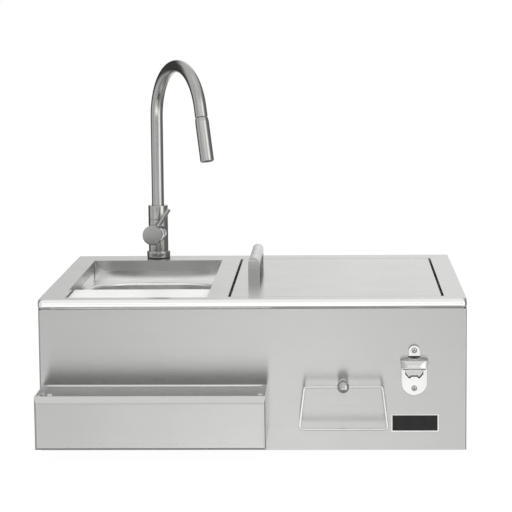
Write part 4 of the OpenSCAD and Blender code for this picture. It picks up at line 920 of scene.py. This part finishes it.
def strokes(tree, place, lines, half_width):
    """Mask of several strokes together."""
    mask = 0.0
    for line in lines:
        for start, end in zip(line, line[1:]):
            mask = reckon(tree, "MAXIMUM", mask, stroke(tree, place, start, end, half_width))
    return mask


opener_low, opener_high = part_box("opener_body")
opener_x, opener_top = (opener_low[0] + opener_high[0]) / 2, opener_high[2]
shadow_line_half_width = 0.0011


def on_opener(*points):
    """Line through points given in mm across and down from the middle of the opener's top."""
    return [(opener_x + x / 1000, opener_top - down / 1000) for x, down in points]


def cast_finish():
    """Bright plating, hazy in patches, with painted shade told by the distance from the panel: near black in
    the slot, dark on the cast walls and grey on the floor of the mouth."""
    material, tree, place = new_material("cast_chrome")
    haze = use(tree, haze_group, Place=place, Scale=40.0)
    out = put(tree, "SeparateXYZ", {0: place}).outputs["Y"]
    out = reckon(tree, "SUBTRACT", panel_front, out)
    # Outwards: the floor of the slot, that of the mouth and the walls, each painted darker as shade, and the
    # plated front
    above_slot = ramp(tree, out, 0.0017, 0.0019)
    above_mouth = ramp(tree, out, 0.0023, 0.0026)
    above_wall = ramp(tree, out, 0.0041, 0.0047)
    colour = tint(tree, above_slot, (0.03, 0.03, 0.03), (0.5, 0.5, 0.49))
    colour = tint(tree, above_mouth, colour, (0.15, 0.15, 0.15))
    colour = tint(tree, above_wall, colour, (0.7, 0.7, 0.69))
    # Painted shadow lies along the foot of the mouth and in the corner under the hood
    mouth = on_opener((-15.2, 50), (-15.2, 51.5), (-9.2, 58.4), (-7, 58.4), (-6, 55.6), (6, 55.6), (7, 58.4),
                      (9.2, 58.4), (15.2, 51.5), (15.2, 50))
    under = on_opener((-20, 43.8), (-9, 42.9), (9, 42.9), (20, 43.8))
    painted_shadow = strokes(tree, place, [mouth, under], shadow_line_half_width)
    low = ramp(tree, out, 0.0058, 0.0066, 1, 0)
    painted_shadow = reckon(tree, "MULTIPLY", painted_shadow, low)
    colour = tint(tree, painted_shadow, colour, (0.05, 0.05, 0.05))
    rub = between(tree, haze["Cloud"], 0.16, 0.26)
    bump = relief(tree, haze["Smear"], 0.15, 0.0001)
    finish_metal(tree, place, colour, rub, bump, 0.02)
    return material


cast_chrome = cast_finish()


def tumbled(name, node, voxel, passes):
    """Merged copy of a solid, rebuilt from small cells and relaxed, which rounds its edges."""
    piece = bpy.data.objects.new(name, merged_copy(node))
    bpy.context.scene.collection.objects.link(piece)
    cells = piece.modifiers.new("cells", "REMESH")
    cells.mode = "VOXEL"
    cells.voxel_size = voxel
    cells.use_smooth_shade = True
    relax = piece.modifiers.new("relax", "SMOOTH")
    relax.factor = 0.5
    relax.iterations = passes
    return piece


opener = tumbled("cast_opener", "opener_body", 0.0005, 3)
opener.data.materials.clear()
opener.data.materials.append(cast_chrome)
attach(opener, "housing")
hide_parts("opener_body")


# How far down the two screws are, the reach of a cross from its middle, both in mm, and its turn
screws_down, cross_reach, cross_turn = (9, 77.1), 2.3, 0.35
cross_half_width = 0.0006


def cross_finish():
    """Polished screw heads with a cross recess, bumped in and painted near black as its shade."""
    material, tree, place = new_material("cross_steel")
    haze = use(tree, haze_group, Place=place, Scale=30.0)
    crosses = []
    for down in screws_down:
        for turned_by in (cross_turn, cross_turn + math.pi / 2):
            x, z = cross_reach * math.cos(turned_by), cross_reach * math.sin(turned_by)
            crosses.append(on_opener((-x, down - z), (x, down + z)))
    cross_recess_and_shade = strokes(tree, place, crosses, cross_half_width)
    colour = tint(tree, cross_recess_and_shade, (0.78, 0.78, 0.77), (0.02, 0.02, 0.02))
    rub = ramp(tree, haze["Cloud"], 0, 1, 0.12, 0.2)
    bump = relief(tree, cross_recess_and_shade, 1, 0.0006, invert=True)
    finish_metal(tree, place, colour, rub, bump, 0.0)
    return material


dress(cross_finish(), "opener_screws")


# Blank plate
# A small bare plate of black anodised aluminium, punched from sheet with its border left bright, and
# glued low on the front panel.
plate_low = (0.2477, -0.3018, 0.0336)
plate_high = (0.3313, -0.301, 0.0645)
border_w, plate_corner_r, plate_edge_r = 0.0014, 0.0012, 0.0003


def plate_finish():
    """Black face inside a bright border, told apart by the distance from the plate's middle."""
    material, tree, place = new_material("plate_black")
    middle = tuple((a + b) / 2 for a, b in zip(plate_low, plate_high))
    half = ((plate_high[0] - plate_low[0]) / 2 - border_w, 1, (plate_high[2] - plate_low[2]) / 2 - border_w)
    off = vectors(tree, "ABSOLUTE", vectors(tree, "SUBTRACT", place, middle))
    off = vectors(tree, "DIVIDE", off, half)
    part = put(tree, "SeparateXYZ", {0: off}).outputs
    edge = reckon(tree, "MAXIMUM", part["X"], part["Z"])
    border = reckon(tree, "GREATER_THAN", edge, 1)
    haze = use(tree, haze_group, Place=place, Scale=60.0)
    black = tint(tree, haze["Cloud"], (0.012, 0.012, 0.012), (0.02, 0.02, 0.02))
    colour = tint(tree, border, black, (0.95, 0.95, 0.94))
    rub = ramp(tree, haze["Cloud"], 0, 1, 0.3, 0.42)
    bump = relief(tree, border, 0.5, 0.0002)
    shader = finish(tree, colour, rub, bump, border)
    shader.inputs["Specular IOR Level"].default_value = 0.2
    return material


def plate_points():
    """The rings of a slab with round corners, stood upright against the panel."""
    wide, high, thick = (plate_high[k] - plate_low[k] for k in (0, 2, 1))
    rings = slab_points((0, 0, 0), (wide, high, thick), plate_corner_r, plate_edge_r)
    x, z, out = np.moveaxis(rings, -1, 0)
    return np.stack([plate_low[0] + x, plate_high[1] - out, plate_low[2] + z], -1)


plate = skin("blank_plate", plate_points(), plate_finish(), "housing")
